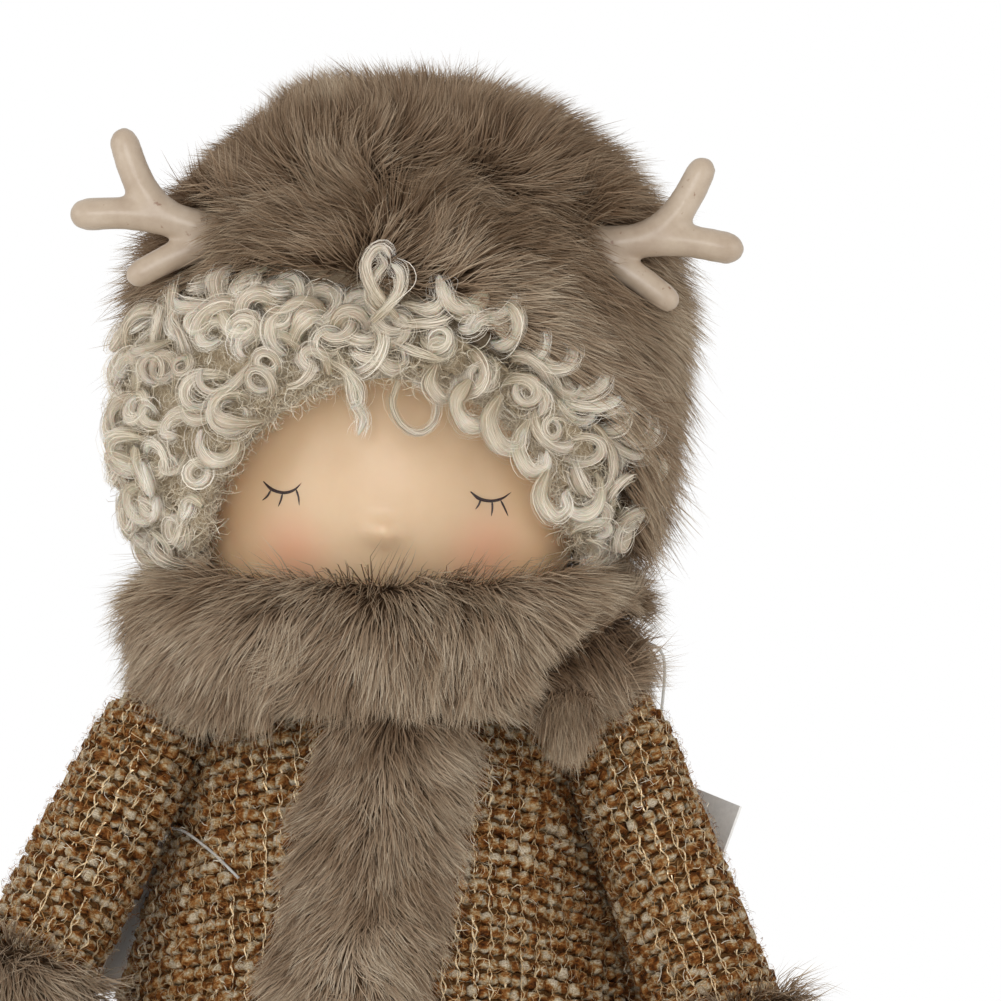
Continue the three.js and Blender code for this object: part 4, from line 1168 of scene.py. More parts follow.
TUFT_EDGE = [*HAIR_EDGE[2:7], (364, 304), *HAIR_EDGE[12:-1]]
edge_line = curve_through(TUFT_EDGE, per_span=8)
edge_travel = np.concatenate([[0], np.cumsum(np.hypot(*np.diff(edge_line, axis=0).T))])
dice = np.random.default_rng(119)
paths, facings = [], []
for number in range(TUFTS):
    travel = edge_travel[-1] * (number + dice.uniform(0, 0.9)) / TUFTS
    across, down, further, lower = (
        np.interp(travel + ahead, edge_travel, edge_line[:, axis]) for ahead in (0, 4) for axis in (0, 1)
    )
    inside = (9, 22, 36)[number % 3] + dice.uniform(-4, 4)
    place, out = seen_at(across - 0.3 * inside * (across > 430), down + inside)
    if place is None:
        continue
    normal = unit(np.array(out) + np.array([0, -1.5, 0]))
    along = unit(np.array(spot(further, lower)) - np.array(spot(across, down)))
    outward = unit((np.array(place) - np.array(FACE_MIDDLE)) * np.array([1, 0, 1]))
    ahead = along * dice.choice([-0.7, 1]) + 0.35 * dice.normal(size=3)
    length = dice.uniform(0.012, 0.018)
    path = curl_path(np.array(place), normal, ahead, dice, length, turning=dice.uniform(2, 6), lift=0.0016)
    paths.append(clear_of_face(path, outward))
    facings.append(normal)
widths = dice.uniform(0.0012, 0.0019, len(paths))
comb_locks("wig_tufts", np.array(paths), np.array(facings), widths, seed=121, per_lock=44)

# %% [markdown]
# A few locks have their own places in the picture: a tuft that stands up over the hat's edge, one that
# hangs on the forehead beside a thin open ring, and a fringe that falls over the brow on the doll's left.

# %% Placed locks
placed_locks = [
    (0.0011, -0.05, [(398, 318), (382, 302), (371, 285), (366, 266), (373, 251), (384, 248), (391, 259)]),
    (0.0009, -0.051, [(372, 322), (388, 306), (398, 291), (400, 274), (391, 263)]),
    (0.0007, -0.05, [(382, 312), (371, 297), (375, 277), (384, 264), (378, 251)]),
    (0.0009, -0.044, [(340, 356), (350, 378), (354, 400), (363, 418), (358, 436)]),
    (0.0007, -0.045, [(332, 362), (346, 370), (358, 386), (360, 402), (350, 408)]),
    (0.00045, -0.045, [(398, 380), (391, 402), (400, 424), (418, 434), (434, 424), (438, 404), (428, 388),
                       (410, 382)]),
    (0.0012, -0.046, [(436, 366), (430, 384), (442, 398), (456, 392), (456, 378)]),
    (0.0015, -0.046, [(470, 380), (456, 402), (466, 424), (486, 424), (492, 408)]),
    (0.0015, -0.045, [(500, 396), (488, 420), (500, 446), (520, 446), (524, 428)]),
    (0.0014, -0.043, [(528, 420), (516, 446), (528, 470), (546, 466), (546, 450)]),
    (0.0013, -0.042, [(548, 470), (540, 496), (552, 516), (566, 508), (562, 492)]),
    (0.0011, -0.045, [(384, 340), (378, 356), (390, 368), (404, 362), (402, 348)]),
]
paths = []
for _, depth, pixels in placed_locks:
    drawn = curve_through([spot(*pixel, depth) for pixel in pixels], per_span=8)
    even = np.linspace(0, len(drawn) - 1, LOCK_STEPS)
    path = np.stack([np.interp(even, range(len(drawn)), drawn[:, axis]) for axis in range(3)], 1)
    path[:, 1] -= 0.0012 * np.sin(math.pi * 2 * lock_steps)
    paths.append(path)
widths = np.array([width for width, _, _ in placed_locks])
facings = np.tile([0.0, -1.0, 0.0], (len(paths), 1))
comb_locks("wig_placed_locks", np.array(paths), facings, widths, seed=111)

# %% [markdown]
# Loose fine hairs fill the gaps between the locks and blur the wig's outline. Each runs out a little way
# from the cap and winds as it goes, so it is an open coil of one hair.

# %% Frizz
FRIZZ = 12000
frizz_hair = Strand(bands=8, sides=2)


def frizz_share(places, normals):
    """Frizz grows where locks grow, and on the rim round the face."""
    rim = (places[:, 1] < -0.012) & (np.abs(from_window(places) - WINDOW_RADIUS) < 0.004)
    edge = np.interp(places[:, 0], [place.x for place in hair_edge], [place.z for place in hair_edge])
    border = (places[:, 1] < -0.01) & (np.abs(places[:, 2] - edge) < 0.005) & (normals[:, 1] < 0.1)
    return wig_share(places, normals) + 1.5 * rim + 1.5 * border


roots, normals = scatter_roots(wig_skin, FRIZZ, 113, frizz_share)
dice = np.random.default_rng(117)
steps = np.linspace(0, 1, frizz_hair.bands + 1)[None, :, None]
heading = unit(0.35 * normals + dice.normal(size=(FRIZZ, 3)))
curl_side = unit(np.cross(heading, dice.normal(size=(FRIZZ, 3))))
curl_rise = unit(np.cross(heading, curl_side) + 0.8 * heading)
spin = steps * dice.uniform(4, 8, (FRIZZ, 1, 1)) + dice.uniform(0, 6, (FRIZZ, 1, 1))
loop_size = dice.uniform(0.0008, 0.0019, (FRIZZ, 1, 1))
reach = dice.uniform(0.002, 0.006, (FRIZZ, 1, 1))
paths = roots[:, None] + normals[:, None] * 0.001 + heading[:, None] * steps * reach
paths += loop_size * (curl_side[:, None] * np.cos(spin) + curl_rise[:, None] * np.sin(spin))
radii = np.full((FRIZZ, frizz_hair.bands + 1), 0.000045)
points = sweep(frizz_hair, paths, radii, unit(dice.normal(size=(FRIZZ, 3))))
shade = np.clip(0.5 + 0.25 * dice.normal(size=FRIZZ), 0.02, 0.98)
mesh = mesh_of_copies("wig_frizz", frizz_hair, points, chart_uv(frizz_hair, shade[:, None]))
place_piece("wig_frizz", mesh, mohair_frizz, "curly_wig")
print("frizz of", FRIZZ, "hairs")

# %% [markdown]
# The head is a hard moulded shell, painted a warm skin tone with a satin coat. It is a plain egg, so it
# starts as a fine sphere that is drawn to the head's three half sizes. The nose is only a small swelling,
# so points near it are pushed out, most in the middle. The neck is the lower edge, cut off straight and
# drawn down into the collar.

# %% Head
HEAD_HALF = Vector((0.0385, 0.035, 0.042))
HEAD_LEAN = math.radians(3)
NECK_RADIUS = 0.012
head_pivot = joint_at["head_turn"]
head_turned = Matrix.Translation(head_pivot) @ Matrix.Rotation(HEAD_LEAN, 4, "Y")
head_turned = head_turned @ Matrix.Translation((0, 0, HEAD_HALF.z))
NOSE = spot(383, 533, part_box("head_shell")[0].y)


def make_head():
    """The egg-shaped shell with its nose and the stub of its neck."""
    bm = bmesh.new()
    bmesh.ops.create_uvsphere(bm, u_segments=112, v_segments=80, radius=1)
    below = [*bm.verts, *bm.edges, *bm.faces]
    cut = bmesh.ops.bisect_plane(
        bm, geom=below, plane_co=(0, 0, -0.94), plane_no=(0, 0, -1), clear_outer=True
    )
    bmesh.ops.scale(bm, verts=bm.verts, vec=HEAD_HALF)
    bmesh.ops.transform(bm, verts=bm.verts, matrix=head_turned)
    rim = [item for item in cut["geom_cut"] if isinstance(item, bmesh.types.BMEdge)]
    for height in (-0.001, -0.0078):
        drawn = bmesh.ops.extrude_edge_only(bm, edges=rim)["geom"]
        rim = [item for item in drawn if isinstance(item, bmesh.types.BMEdge)]
        for vert in {vert for edge in rim for vert in edge.verts}:
            out = Vector((vert.co.x - head_pivot.x, vert.co.y, 0)).normalized() * NECK_RADIUS
            vert.co = Vector((head_pivot.x, 0, head_pivot.z + height)) + out
    bmesh.ops.contextual_create(bm, geom=rim)
    for vert in bm.verts:
        near = (vert.co - NOSE) * Vector((1, 0, 1))
        if vert.co.y < 0:
            size = math.exp(-((near.x / 0.003) ** 2 + (near.z / 0.0024) ** 2) ** 1.1)
            vert.co.y -= 0.0029 * size
    bmesh.ops.recalc_face_normals(bm, faces=bm.faces)
    mesh = bpy.data.meshes.new("face_mould")
    bm.to_mesh(mesh)
    surface = BVHTree.FromBMesh(bm)
    bm.free()
    mesh.shade_smooth()
    return mesh, surface


head_mesh, head_surface = make_head()

skin_paint, shader = new_finish(
    "skin_paint", Roughness=0.38, Subsurface_Weight=0.3, Coat_Weight=0.12, Coat_Roughness=0.3
)
shader.inputs["Subsurface Radius"].default_value = (0.004, 0.0018, 0.001)
shader.inputs["Subsurface Scale"].default_value = 1.0
tree = skin_paint.node_tree
place = add_node(tree, "ShaderNodeTexCoord").outputs["Object"]


def soft_spot(tree, place, middle, size):
    """A mask that is 1 at a point and fades to 0 at a distance, on the piece's own coordinates."""
    from_middle = add_node(tree, "ShaderNodeVectorMath", {"operation": "DISTANCE"}, _0=place, _1=middle)
    return between(tree, from_middle.outputs["Value"], 0.0, size, 1.0, 0.0)


mottle = noise(tree, 60, 4)
colour = ramp(tree, mottle, [(0.3, "cfb08d"), (0.7, "d8bb99")])
# Towards the sides of the face the skin turns warmer and lighter. The warmth is the paint's own; the lightening is
# painted light, which lifts the shade that the wig casts there.
warm_painted_light_edge = between(tree, add_node(tree, "ShaderNodeSeparateXYZ", Vector=place).outputs["Y"], -0.034, -0.014)
colour = blend_colours(tree, warm_painted_light_edge, colour, tint("fbd0a3"))
for across in (286, 492):
    cheek = soft_spot(tree, place, spot(across, 556, -0.03), 0.0125)
    faded = add_node(tree, "ShaderNodeMath", {"operation": "MULTIPLY"}, _0=cheek, _1=0.42).outputs[0]
    colour = blend_colours(tree, faded, colour, tint("e08a6c"))
tree.links.new(colour, shader.inputs["Base Color"])
raise_by(tree, shader, noise(tree, 1400, 2), distance=0.00002, strength=0.5)
place_piece("face_mould", head_mesh, skin_paint, "head_shell", ["head_shell"])
print("head", len(head_mesh.polygons), "faces; nose at", [round(value, 4) for value in NOSE])

# %% [markdown]
# The sleeping eyes are drawn on with a fine brush: one bow for each lid and three lashes below it. Each
# stroke is a thin line of thick paint, so it is a thin round tube that is pressed into the shell along the
# brush's path.

# %% Eyes
eye_strokes = {
    "eye_right": [
        [(263.5, 481.5), (272, 489.5), (284, 492.8), (294, 490), (301.5, 483)],
        [(271, 490), (267.5, 496), (262, 500.6)],
        [(282.5, 493.5), (281, 500), (278, 507)],
        [(296, 489), (298.5, 497), (299.3, 505.7)],
    ],
    "eye_left": [
        [(470.5, 491.5), (479, 498.5), (491, 501), (502, 498.5), (511.5, 492)],
        [(480.7, 499), (478.8, 504.5), (475.3, 509.5)],
        [(492, 501), (492.3, 508.5), (491.2, 516.5)],
        [(500.5, 500), (504.5, 508), (508.3, 516.5)],
    ],
}
STROKE_STEPS = 15
LID_RADIUS = 0.00034
LASH_RADIUS = 0.00022
brush_stroke = Strand(bands=STROKE_STEPS - 1, sides=8)
lash_paint, _ = clouded(
    "lash_paint", scale=3000, stops=[(0.35, "2b2022"), (0.75, "4a3a38")], detail=2, Roughness=0.4
)


def onto_head(across, down):
    """Where the line of sight through a pixel meets the head."""
    aim = spot(across, down, -0.06)
    hit, _, _, _ = head_surface.ray_cast(aim, (aim - camera.location).normalized())
    return hit


for name, strokes in eye_strokes.items():
    paths = []
    for stroke in strokes:
        drawn = curve_through([onto_head(*pixel) for pixel in stroke], per_span=8)
        even = np.linspace(0, len(drawn) - 1, STROKE_STEPS)
        paths.append([[np.interp(even, range(len(drawn)), drawn[:, axis])] for axis in range(3)])
    paths = np.array(paths)[:, :, 0].transpose(0, 2, 1)
    taper = np.interp(np.linspace(0, 1, STROKE_STEPS), [0, 0.2, 0.7, 1], [0.35, 1, 0.8, 0.2])
    radii = np.array([LID_RADIUS] + [LASH_RADIUS] * 3)[:, None] * taper
    points = sweep(brush_stroke, paths, radii)
    fold = brush_stroke.fold[None] * np.ones((len(strokes), 1))
    uv = np.stack(np.broadcast_arrays(brush_stroke.along[None], fold), -1)
    mesh = mesh_of_copies(name, brush_stroke, points, uv)
    place_piece(name, mesh, lash_paint, "head_shell")
print("eyes drawn")

# %% [markdown]
# The antlers are cast and painted. The solid has the right beams and tines but meets in hard lines, so a
# fine remesh and some smoothing melt its forks together, as in a casting. The paint has a soft shine, and a
# few small rubbed places keep it from looking new.

# %% Antlers
antler_paint, shader = new_finish("antler_paint", Roughness=0.42, Coat_Weight=0.35, Coat_Roughness=0.22)
tree = antler_paint.node_tree
shade = ramp(tree, noise(tree, 120, 5), [(0.3, "a38f7b"), (0.55, "b4a28e"), (0.8, "c2b2a0")])
rubbed = between(tree, noise(tree, 420, 6), 0.66, 0.72)
shade = blend_colours(tree, rubbed, shade, tint("8c6f5a"))
tree.links.new(shade, shader.inputs["Base Color"])
raise_by(tree, shader, noise(tree, 260, 3), distance=0.0002, strength=0.4)

for side in ("left", "right"):
    mesh = soft_copy(f"antler_{side}", voxel=0.00055, rounds=18, inward=-0.00025)
    place_piece(f"antler_cast_{side}", mesh, antler_paint, f"antler_{side}", [f"antler_{side}"])
    print("antler", side, len(mesh.polygons), "faces")

# %% [markdown]
# The coat is a boucle tweed. Fat soft weft yarns in mixed browns and cream lie across the cloth, and thin
# golden warp threads run down it, pinch every row and zigzag between them, which leaves the small nubs that
# the cloth is known for. A weave like this is thick enough to see from the side, so it is made of real
# yarns. The cloth is cut in a front and a back panel, each laid flat round a cone, so its rows bow down a
# little towards the side seams.

# %% Coat surface
ROW_PITCH = 0.003
THREAD_PITCH = 0.0033
coat_low, coat_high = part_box("coat_body")


def coat_folds(places, normals):
    """Shallow soft folds that run down the skirt, and a collar that stands up inside the scarf."""
    turn = np.arctan2(places[:, 0] - CENTRE_LINE, -places[:, 1])
    depth = part_way(coat_high.z - 0.02 - places[:, 2], 0.1)
    ripple = 0.0011 * depth * np.sin(5 * turn + 0.8) + 0.0006 * depth * np.sin(11 * turn)
    places = places + normals * (ripple - 0.0008)[:, None]
    places[:, 2] += 0.006 * part_way(places[:, 2] - coat_high.z + 0.006, 0.006)
    return places


coat_skin = soft_copy("coat_body", voxel=0.0021, rounds=6, change=coat_folds)
coat_surface = surface_of(coat_skin)
tweed_ground, _ = clouded(
    "tweed_ground", scale=1100, stops=[(0.3, "4a2e16"), (0.7, "70502d")],
    Roughness=0.95, Specular_IOR_Level=0.1,
)
place_piece("coat_cloth", coat_skin, tweed_ground, "coat_body", ["coat_body"])

GRID_TURNS = 181
GRID_HEIGHTS = 90
grid_turn = np.linspace(-math.pi, math.pi, GRID_TURNS)
grid_height = np.linspace(coat_low.z + 0.003, coat_high.z + 0.001, GRID_HEIGHTS)


def coat_reach(turn, height):
    """How far the coat's outer face is from the doll's centre line."""
    way = Vector((math.sin(turn), -math.cos(turn), 0))
    start = Vector((CENTRE_LINE, 0, height)) + way * 0.15
    hit, _, _, _ = coat_surface.ray_cast(start, -way)
    return (hit - Vector((CENTRE_LINE, 0, height))).length if hit else 0.012


reach_grid = np.array([[coat_reach(turn, height) for turn in grid_turn] for height in grid_height])
meridian = reach_grid[:, GRID_TURNS // 2]
slant = np.concatenate([[0], np.cumsum(np.hypot(np.diff(meridian), np.diff(grid_height)))])
half_up = GRID_HEIGHTS // 2
SLOPE = (reach_grid[2].mean() - reach_grid[half_up].mean()) / (grid_height[half_up] - grid_height[2])
CONE_SINE = SLOPE / math.hypot(SLOPE, 1)
HEM_SLANT = reach_grid[2].mean() / CONE_SINE
TOP_SLANT = HEM_SLANT - slant[-1]
HEM_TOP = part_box("hem_trim")[1].z
cone_angle = math.degrees(math.asin(CONE_SINE))
print("coat cone", round(cone_angle, 1), "degrees, slant", round(HEM_SLANT * 1000), "mm")


def on_coat(across, down_cone, panel):
    """Points of the coat from flat places on a panel: across, and the distance from the cone's tip."""
    distance = np.hypot(across, down_cone)
    turn = np.arctan2(across, down_cone) / CONE_SINE + panel * math.pi
    turn = (turn + math.pi) % math.tau - math.pi
    climbed = HEM_SLANT - distance
    height = np.interp(climbed, slant, grid_height)
    row = np.interp(height, grid_height, np.arange(GRID_HEIGHTS))
    column = np.interp(turn, grid_turn, np.arange(GRID_TURNS))
    r0 = np.clip(row.astype(int), 0, GRID_HEIGHTS - 2)
    c0 = np.clip(column.astype(int), 0, GRID_TURNS - 2)
    fr, fc = row - r0, column - c0
    reach = (
        reach_grid[r0, c0] * (1 - fr) * (1 - fc)
        + reach_grid[r0 + 1, c0] * fr * (1 - fc)
        + reach_grid[r0, c0 + 1] * (1 - fr) * fc
        + reach_grid[r0 + 1, c0 + 1] * fr * fc
    )
    out = np.stack([np.sin(turn), -np.cos(turn), np.zeros_like(turn)], -1)
    middle = np.array([CENTRE_LINE, 0, 0])
    places = middle + out * reach[..., None] + np.array([0, 0, 1.0]) * height[..., None]
    under_band = (np.abs(places[:, 0] - band_middle(height)) < BAND_HALF - 0.004) & (places[:, 1] < 0)
    seen = (climbed > 0) & (height < coat_high.z - 0.0015) & (height > HEM_TOP - 0.004) & ~under_band
    return places, unit(out + np.array([0, 0, 0.3])), seen


# %% [markdown]
# A yarn is a soft tube that swells into a nub between every two warp threads, which pinch it. It is laid in
# equal short lengths that overlap by one ring. Its colours change from nub to nub, which gives the tweed
# its speckle, and they come from a chart in the UV map, where each length of yarn gets a place of its own
# choice.

# %% Yarn
YARN_BANDS = 24
YARN_STEP = 0.0006
CHART_RUN = 0.018
CHART_LENGTH = 0.2
CHART_ROWS = 16
weft_strand = Strand(bands=YARN_BANDS, sides=5, pointed=False)
warp_strand = Strand(bands=YARN_BANDS, sides=2, pointed=False)


def equal_lengths(bands, *lines):
    """Long lines of numbers, cut alike into equal short ones that overlap by one step."""
    count = max(1, round((len(lines[0]) - 2) / (bands - 1)))
    stops = np.linspace(0, len(lines[0]) - 1, count * (bands - 1) + 2)
    picked = np.arange(count)[:, None] * (bands - 1) + np.arange(bands + 1)
    results = []
    for values in lines:
        columns = values.reshape(len(values), -1).T
        even = np.stack([np.interp(stops, np.arange(len(values)), column) for column in columns], 1)
        results.append(even[picked])
    return results


def seen_runs(seen, *values):
    """The stretches of a line that show."""
    breaks = np.flatnonzero(np.diff(seen.astype(int))) + 1
    stretches = zip(np.split(seen, breaks), *[np.split(value, breaks) for value in values])
    return [parts for show, *parts in stretches if len(show) > 4 and show[0]]


def lay_yarn(name, node, strand, runs, finish, seed):
    """Yarns along runs of points, ways out and radii, as one mesh."""
    dice = np.random.default_rng(seed)
    pieces = zip(*[equal_lengths(strand.bands, *run) for run in runs])
    lines, outs, radii = (np.concatenate(parts) for parts in pieces)
    points = sweep(strand, lines, radii[..., 0], outs[:, 0])
    start = dice.uniform(0, 0.9, (len(lines), 1))
    row = dice.integers(0, CHART_ROWS, (len(lines), 1))
    along = start + strand.along[None] * CHART_RUN / CHART_LENGTH
    across = (row + 0.08 + 0.84 * strand.fold[None]) / CHART_ROWS
    mesh = mesh_of_copies(name, strand, points, np.stack(np.broadcast_arrays(along, across), -1))
    place_piece(name, mesh, finish, node)
    print(name, len(lines), "lengths,", len(mesh.polygons), "triangles")


WEFT_RADIUS = 0.00142
NUB_PITCH = 0.0021
LUREX_WIDTH = 0.00011


def under_pin(places):
    """1 where the pin of the front tag lies on the cloth, and 0 away from it."""
    beside = np.linalg.norm((places[:, None] - pin_paths["front"])[..., ::2], axis=-1).min(1)
    return hump(beside, 0.0014) * (places[:, 1] < 0)


def weft_run(places, outs, travelled, seen=None):
    """Weft points and radii along a yarn, from how far each place is along it."""
    pinch = 0.5 + 0.5 * np.cos(math.tau * travelled / NUB_PITCH + 1.6 * waves(places, 0.005, 139))
    lump = waves(places, 0.0032, 137)
    pressed = under_pin(places)
    line = places + outs * (0.001 - 0.0006 * pinch + 0.00025 * lump - 0.0011 * pressed)[:, None]
    line[:, 2] += 0.0003 * waves(places, 0.004, 141)
    radius = WEFT_RADIUS * (1.1 - 0.4 * pinch + 0.14 * lump) * (1 - 0.3 * pressed)
    seen = np.ones(len(line), bool) if seen is None else seen
    return seen_runs(seen, line, outs, radius)


def warp_runs_at(places, outs, sideways, phase, seen=None):
    """Two flat metal threads that cross at every row. Phase counts the rows that they have passed."""
    seen = np.ones(len(places), bool) if seen is None else seen
    runs = []
    for hand in (-1, 1):
        rise = 0.0017 + 0.00035 * np.cos(math.tau * phase) + hand * 0.00012 * np.sin(math.pi * phase)
        rise -= 0.0016 * under_pin(places)
        swing = hand * 0.0004 * np.cos(math.pi * phase) + 0.0003 * waves(places, 0.006, 149 + hand)
        line = places + outs * rise[:, None] + sideways * swing[:, None]
        width = LUREX_WIDTH * (1 + 0.5 * waves(places, 0.004, 151 + hand))
        runs += seen_runs(seen, line, outs, width)
    return runs


def chart_place(tree):
    """The yarn's chart, at its real size."""
    chart = add_node(tree, "ShaderNodeUVMap", {"uv_map": "OFBake"}).outputs["UV"]
    return stretched(tree, chart, (CHART_LENGTH, 0.08, 1))


TWEED_TONES = ["4f3018", "7a4a20", "966030", "af804c", "c6aa80", "d8cbb0", "e8dfcd"]
tweed_yarn, shader = new_finish("tweed_yarn", Roughness=0.9, Specular_IOR_Level=0.12)
tree = tweed_yarn.node_tree
place = chart_place(tree)
stops = list(zip((0.34, 0.405, 0.45, 0.49, 0.53, 0.575, 0.63), TWEED_TONES))
colour = ramp(tree, noise(tree, 430, 3, 0.6, place), stops)
fibres = ramp(tree, noise(tree, 3400, 4, 0.75, place), [(0.32, "9c8060"), (0.6, "fffaf2")])
colour = blend_colours(tree, 1.0, colour, fibres, "MULTIPLY")
tree.links.new(colour, shader.inputs["Base Color"])
raise_by(tree, shader, noise(tree, 2400, 4, 0.75, place), distance=0.0008)

gold_lurex, shader = new_finish("gold_lurex", Roughness=0.3, Metallic=0.35)
tree = gold_lurex.node_tree
# The lurex colour runs from dull to pale gold, and its palest flecks are painted glints.
gold_and_painted_glints = noise(tree, 1500, 2, 0.5, chart_place(tree))
colour = ramp(tree, gold_and_painted_glints, [(0.35, "94703f"), (0.5, "ceae7c"), (0.62, "f7ecd2")])
tree.links.new(colour, shader.inputs["Base Color"])

yarn_fuzz, shader = new_finish("yarn_fuzz", Roughness=0.8, Specular_IOR_Level=0.2)
tree = yarn_fuzz.node_tree
chart = add_node(tree, "ShaderNodeUVMap", {"uv_map": "OFBake"}).outputs["UV"]
tone = add_node(tree, "ShaderNodeSeparateXYZ", Vector=chart).outputs["Y"]
stops = list(zip((0.05, 0.2, 0.35, 0.5, 0.65, 0.8, 0.95), TWEED_TONES))
tree.links.new(ramp(tree, tone, stops), shader.inputs["Base Color"])
fuzz_hair = Strand(bands=3, sides=2)


def add_fuzz(name, node, places, outs, seed):
    """Short fibres that bow out of the yarn and lie over its nubs, which makes it woolly."""
    dice = np.random.default_rng(seed)
    count = len(places)
    way = unit(np.cross(outs, dice.normal(size=(count, 3))) + 0.15 * dice.normal(size=(count, 3)))
    bend = np.cross(outs, way)
    steps = np.linspace(-0.5, 0.5, fuzz_hair.bands + 1)[None, :, None]
    reach = dice.uniform(0.0018, 0.004, (count, 1, 1))
    bow = dice.uniform(0.0001, 0.0009, (count, 1, 1)) * (1 - 4 * steps**2)
    curl = dice.normal(size=(count, 1, 1)) * 0.0006 * (1 - 4 * steps**2)
    paths = places[:, None] + reach * steps * way[:, None] + bow * outs[:, None] + curl * bend[:, None]
    radii = 0.000045 * dice.uniform(0.5, 1.5, (count, 1)) * np.ones((1, fuzz_hair.bands + 1))
    points = sweep(fuzz_hair, paths, radii, outs)
    tone = 0.47 + 0.24 * waves(places, 0.0032, 153) + 0.14 * dice.normal(size=count)
    uv = chart_uv(fuzz_hair, np.clip(tone, 0.03, 0.97)[:, None])
    place_piece(name, mesh_of_copies(name, fuzz_hair, points, uv), yarn_fuzz, node)
    print(name, count, "fibres")


def fuzz_roots(places, outs, seen, dice, per_place):
    """Places on the outer half of a yarn for its fibres to grow from."""
    picked = dice.choice(np.flatnonzero(seen), size=int(per_place * seen.sum())) if seen.any() else []
    lean = dice.uniform(-1.1, 1.1, (len(picked), 1))
    up = np.array([0, 0, 1.0])
    radius = WEFT_RADIUS * 0.98
    root = places[picked] + outs[picked] * (0.001 + radius * np.cos(lean)) + up * radius * np.sin(lean)
    return root, unit(outs[picked] * np.cos(lean) + up * np.sin(lean))


# %% [markdown]
# Now the coat is woven, one panel after the other. On the flat panel a weft yarn is a straight line across
# and a warp thread a straight line down it, and both are carried over to the coat's cone.

# %% Coat weave
PANEL_EDGE = CONE_SINE * math.pi / 2
weft_runs, warp_runs, fuzz_places, fuzz_outs = [], [], [], []
dice = np.random.default_rng(157)
for panel in (0, 1):
    for down_cone in np.arange(TOP_SLANT, HEM_SLANT, ROW_PITCH):
        half = down_cone * math.tan(PANEL_EDGE)
        across = np.arange(-half, half, YARN_STEP)
        places, outs, seen = on_coat(across, np.full_like(across, down_cone), panel)
        weft_runs += weft_run(places, outs, across, seen)
        roots, ways = fuzz_roots(places, outs, seen, dice, per_place=1.0)
        fuzz_places.append(roots)
        fuzz_outs.append(ways)
    reach = HEM_SLANT * math.sin(PANEL_EDGE)
    for column in range(-int(reach / THREAD_PITCH), int(reach / THREAD_PITCH) + 1):
        across = column * THREAD_PITCH
        first = max(TOP_SLANT, abs(across) / math.tan(PANEL_EDGE))
        down_cone = np.arange(first, HEM_SLANT, YARN_STEP)
        places, outs, seen = on_coat(np.full_like(down_cone, across), down_cone, panel)
        sideways = unit(np.cross(outs, [0, 0, 1.0]))
        warp_runs += warp_runs_at(places, outs, sideways, (down_cone - TOP_SLANT) / ROW_PITCH, seen)
lay_yarn("coat_weft", "coat_body", weft_strand, weft_runs, tweed_yarn, seed=161)
lay_yarn("coat_warp", "coat_body", warp_strand, warp_runs, gold_lurex, seed=163)
add_fuzz("coat_fuzz", "coat_body", np.concatenate(fuzz_places), np.concatenate(fuzz_outs), seed=165)

# %% [markdown]
# A sleeve is a stuffed tube of the same cloth. Its rows run round the arm, so one long yarn can wind down
# it like thread on a bobbin, and its warp threads run along the arm.

# %% Sleeves
SLEEVE_START = -0.008
SLEEVE_END = 0.0625
SLEEVE_RADIUS = 0.0112
SLEEVE_SHIFT = {"left": 0.0, "right": 0.0012}


def sleeve_yarn(side, seed):
    """The weave round one arm, on a smooth copy of its sleeve."""
    start, line = arm_lines[side]
    node = f"sleeve_{side}"

    def moved_in(places, normals):
        """The right sleeve lies a little closer to the coat than its solid."""
        return places + np.array([SLEEVE_SHIFT[side], 0, 0])

    skin = soft_copy(node, voxel=0.0015, rounds=5, inward=0.0007, change=moved_in)
    cloth = place_piece(f"sleeve_cloth_{side}", skin, tweed_ground, node, [node])
    surface = surface_of(skin)
    first = line.cross(Vector((0, 1, 0))).normalized()
    second = line.cross(first)

    def on_sleeve(turns, along):
        """Points of the sleeve and the way out, at turns about the arm and distances down it."""
        places, outs = [], []
        for turn, far in zip(turns, along):
            middle = start + line * far
            out = first * math.cos(turn) + second * math.sin(turn)
            hit, _, _, _ = surface.ray_cast(middle + out * 0.03, -out)
            places.append(hit or middle + out * 0.01)
            outs.append(out)
        return np.array(places), np.array(outs)

    threads = round(math.tau * SLEEVE_RADIUS / THREAD_PITCH)
    turns = np.arange(0, math.tau * (SLEEVE_END - SLEEVE_START) / ROW_PITCH, YARN_STEP / SLEEVE_RADIUS)
    places, outs = on_sleeve(turns, SLEEVE_START + ROW_PITCH * turns / math.tau)
    weft = weft_run(places, outs, turns * SLEEVE_RADIUS)
    warp = []
    for thread in range(threads):
        along = np.arange(SLEEVE_START, SLEEVE_END, YARN_STEP)
        warp_places, warp_outs = on_sleeve(np.full_like(along, math.tau * thread / threads), along)
        sideways = np.cross(warp_outs, np.array(line))
        phase = (along - SLEEVE_START) / ROW_PITCH - thread / threads
        warp += warp_runs_at(warp_places, warp_outs, sideways, phase)
    lay_yarn(f"{node}_weft", node, weft_strand, weft, tweed_yarn, seed)
    lay_yarn(f"{node}_warp", node, warp_strand, warp, gold_lurex, seed + 1)
    dice = np.random.default_rng(seed + 2)
    roots, ways = fuzz_roots(places, outs, np.ones(len(places), bool), dice, per_place=1.1)
    add_fuzz(f"{node}_fuzz", node, roots, ways, seed + 3)


for side, seed in (("left", 167), ("right", 173)):
    sleeve_yarn(side, seed)

# %% [markdown]
# Mittens and boots are wool felt. Felt is a mat of short fibres with no weave, so its finish is two layers
# of fine noise, one for colour and one for relief. It carries a soft sheen at its edges.

# %% Felt, mittens and boots
felt, shader = new_finish(
    "brown_felt", Roughness=0.95, Specular_IOR_Level=0.15, Sheen_Weight=0.5, Sheen_Roughness=0.6
)
tree = felt.node_tree
colour = ramp(tree, noise(tree, 1500, 6, 0.75), [(0.3, "55422f"), (0.5, "6e5740"), (0.75, "8b755b")])
tree.links.new(colour, shader.inputs["Base Color"])
raise_by(tree, shader, noise(tree, 2200, 6, 0.8), distance=0.00025, strength=0.8)

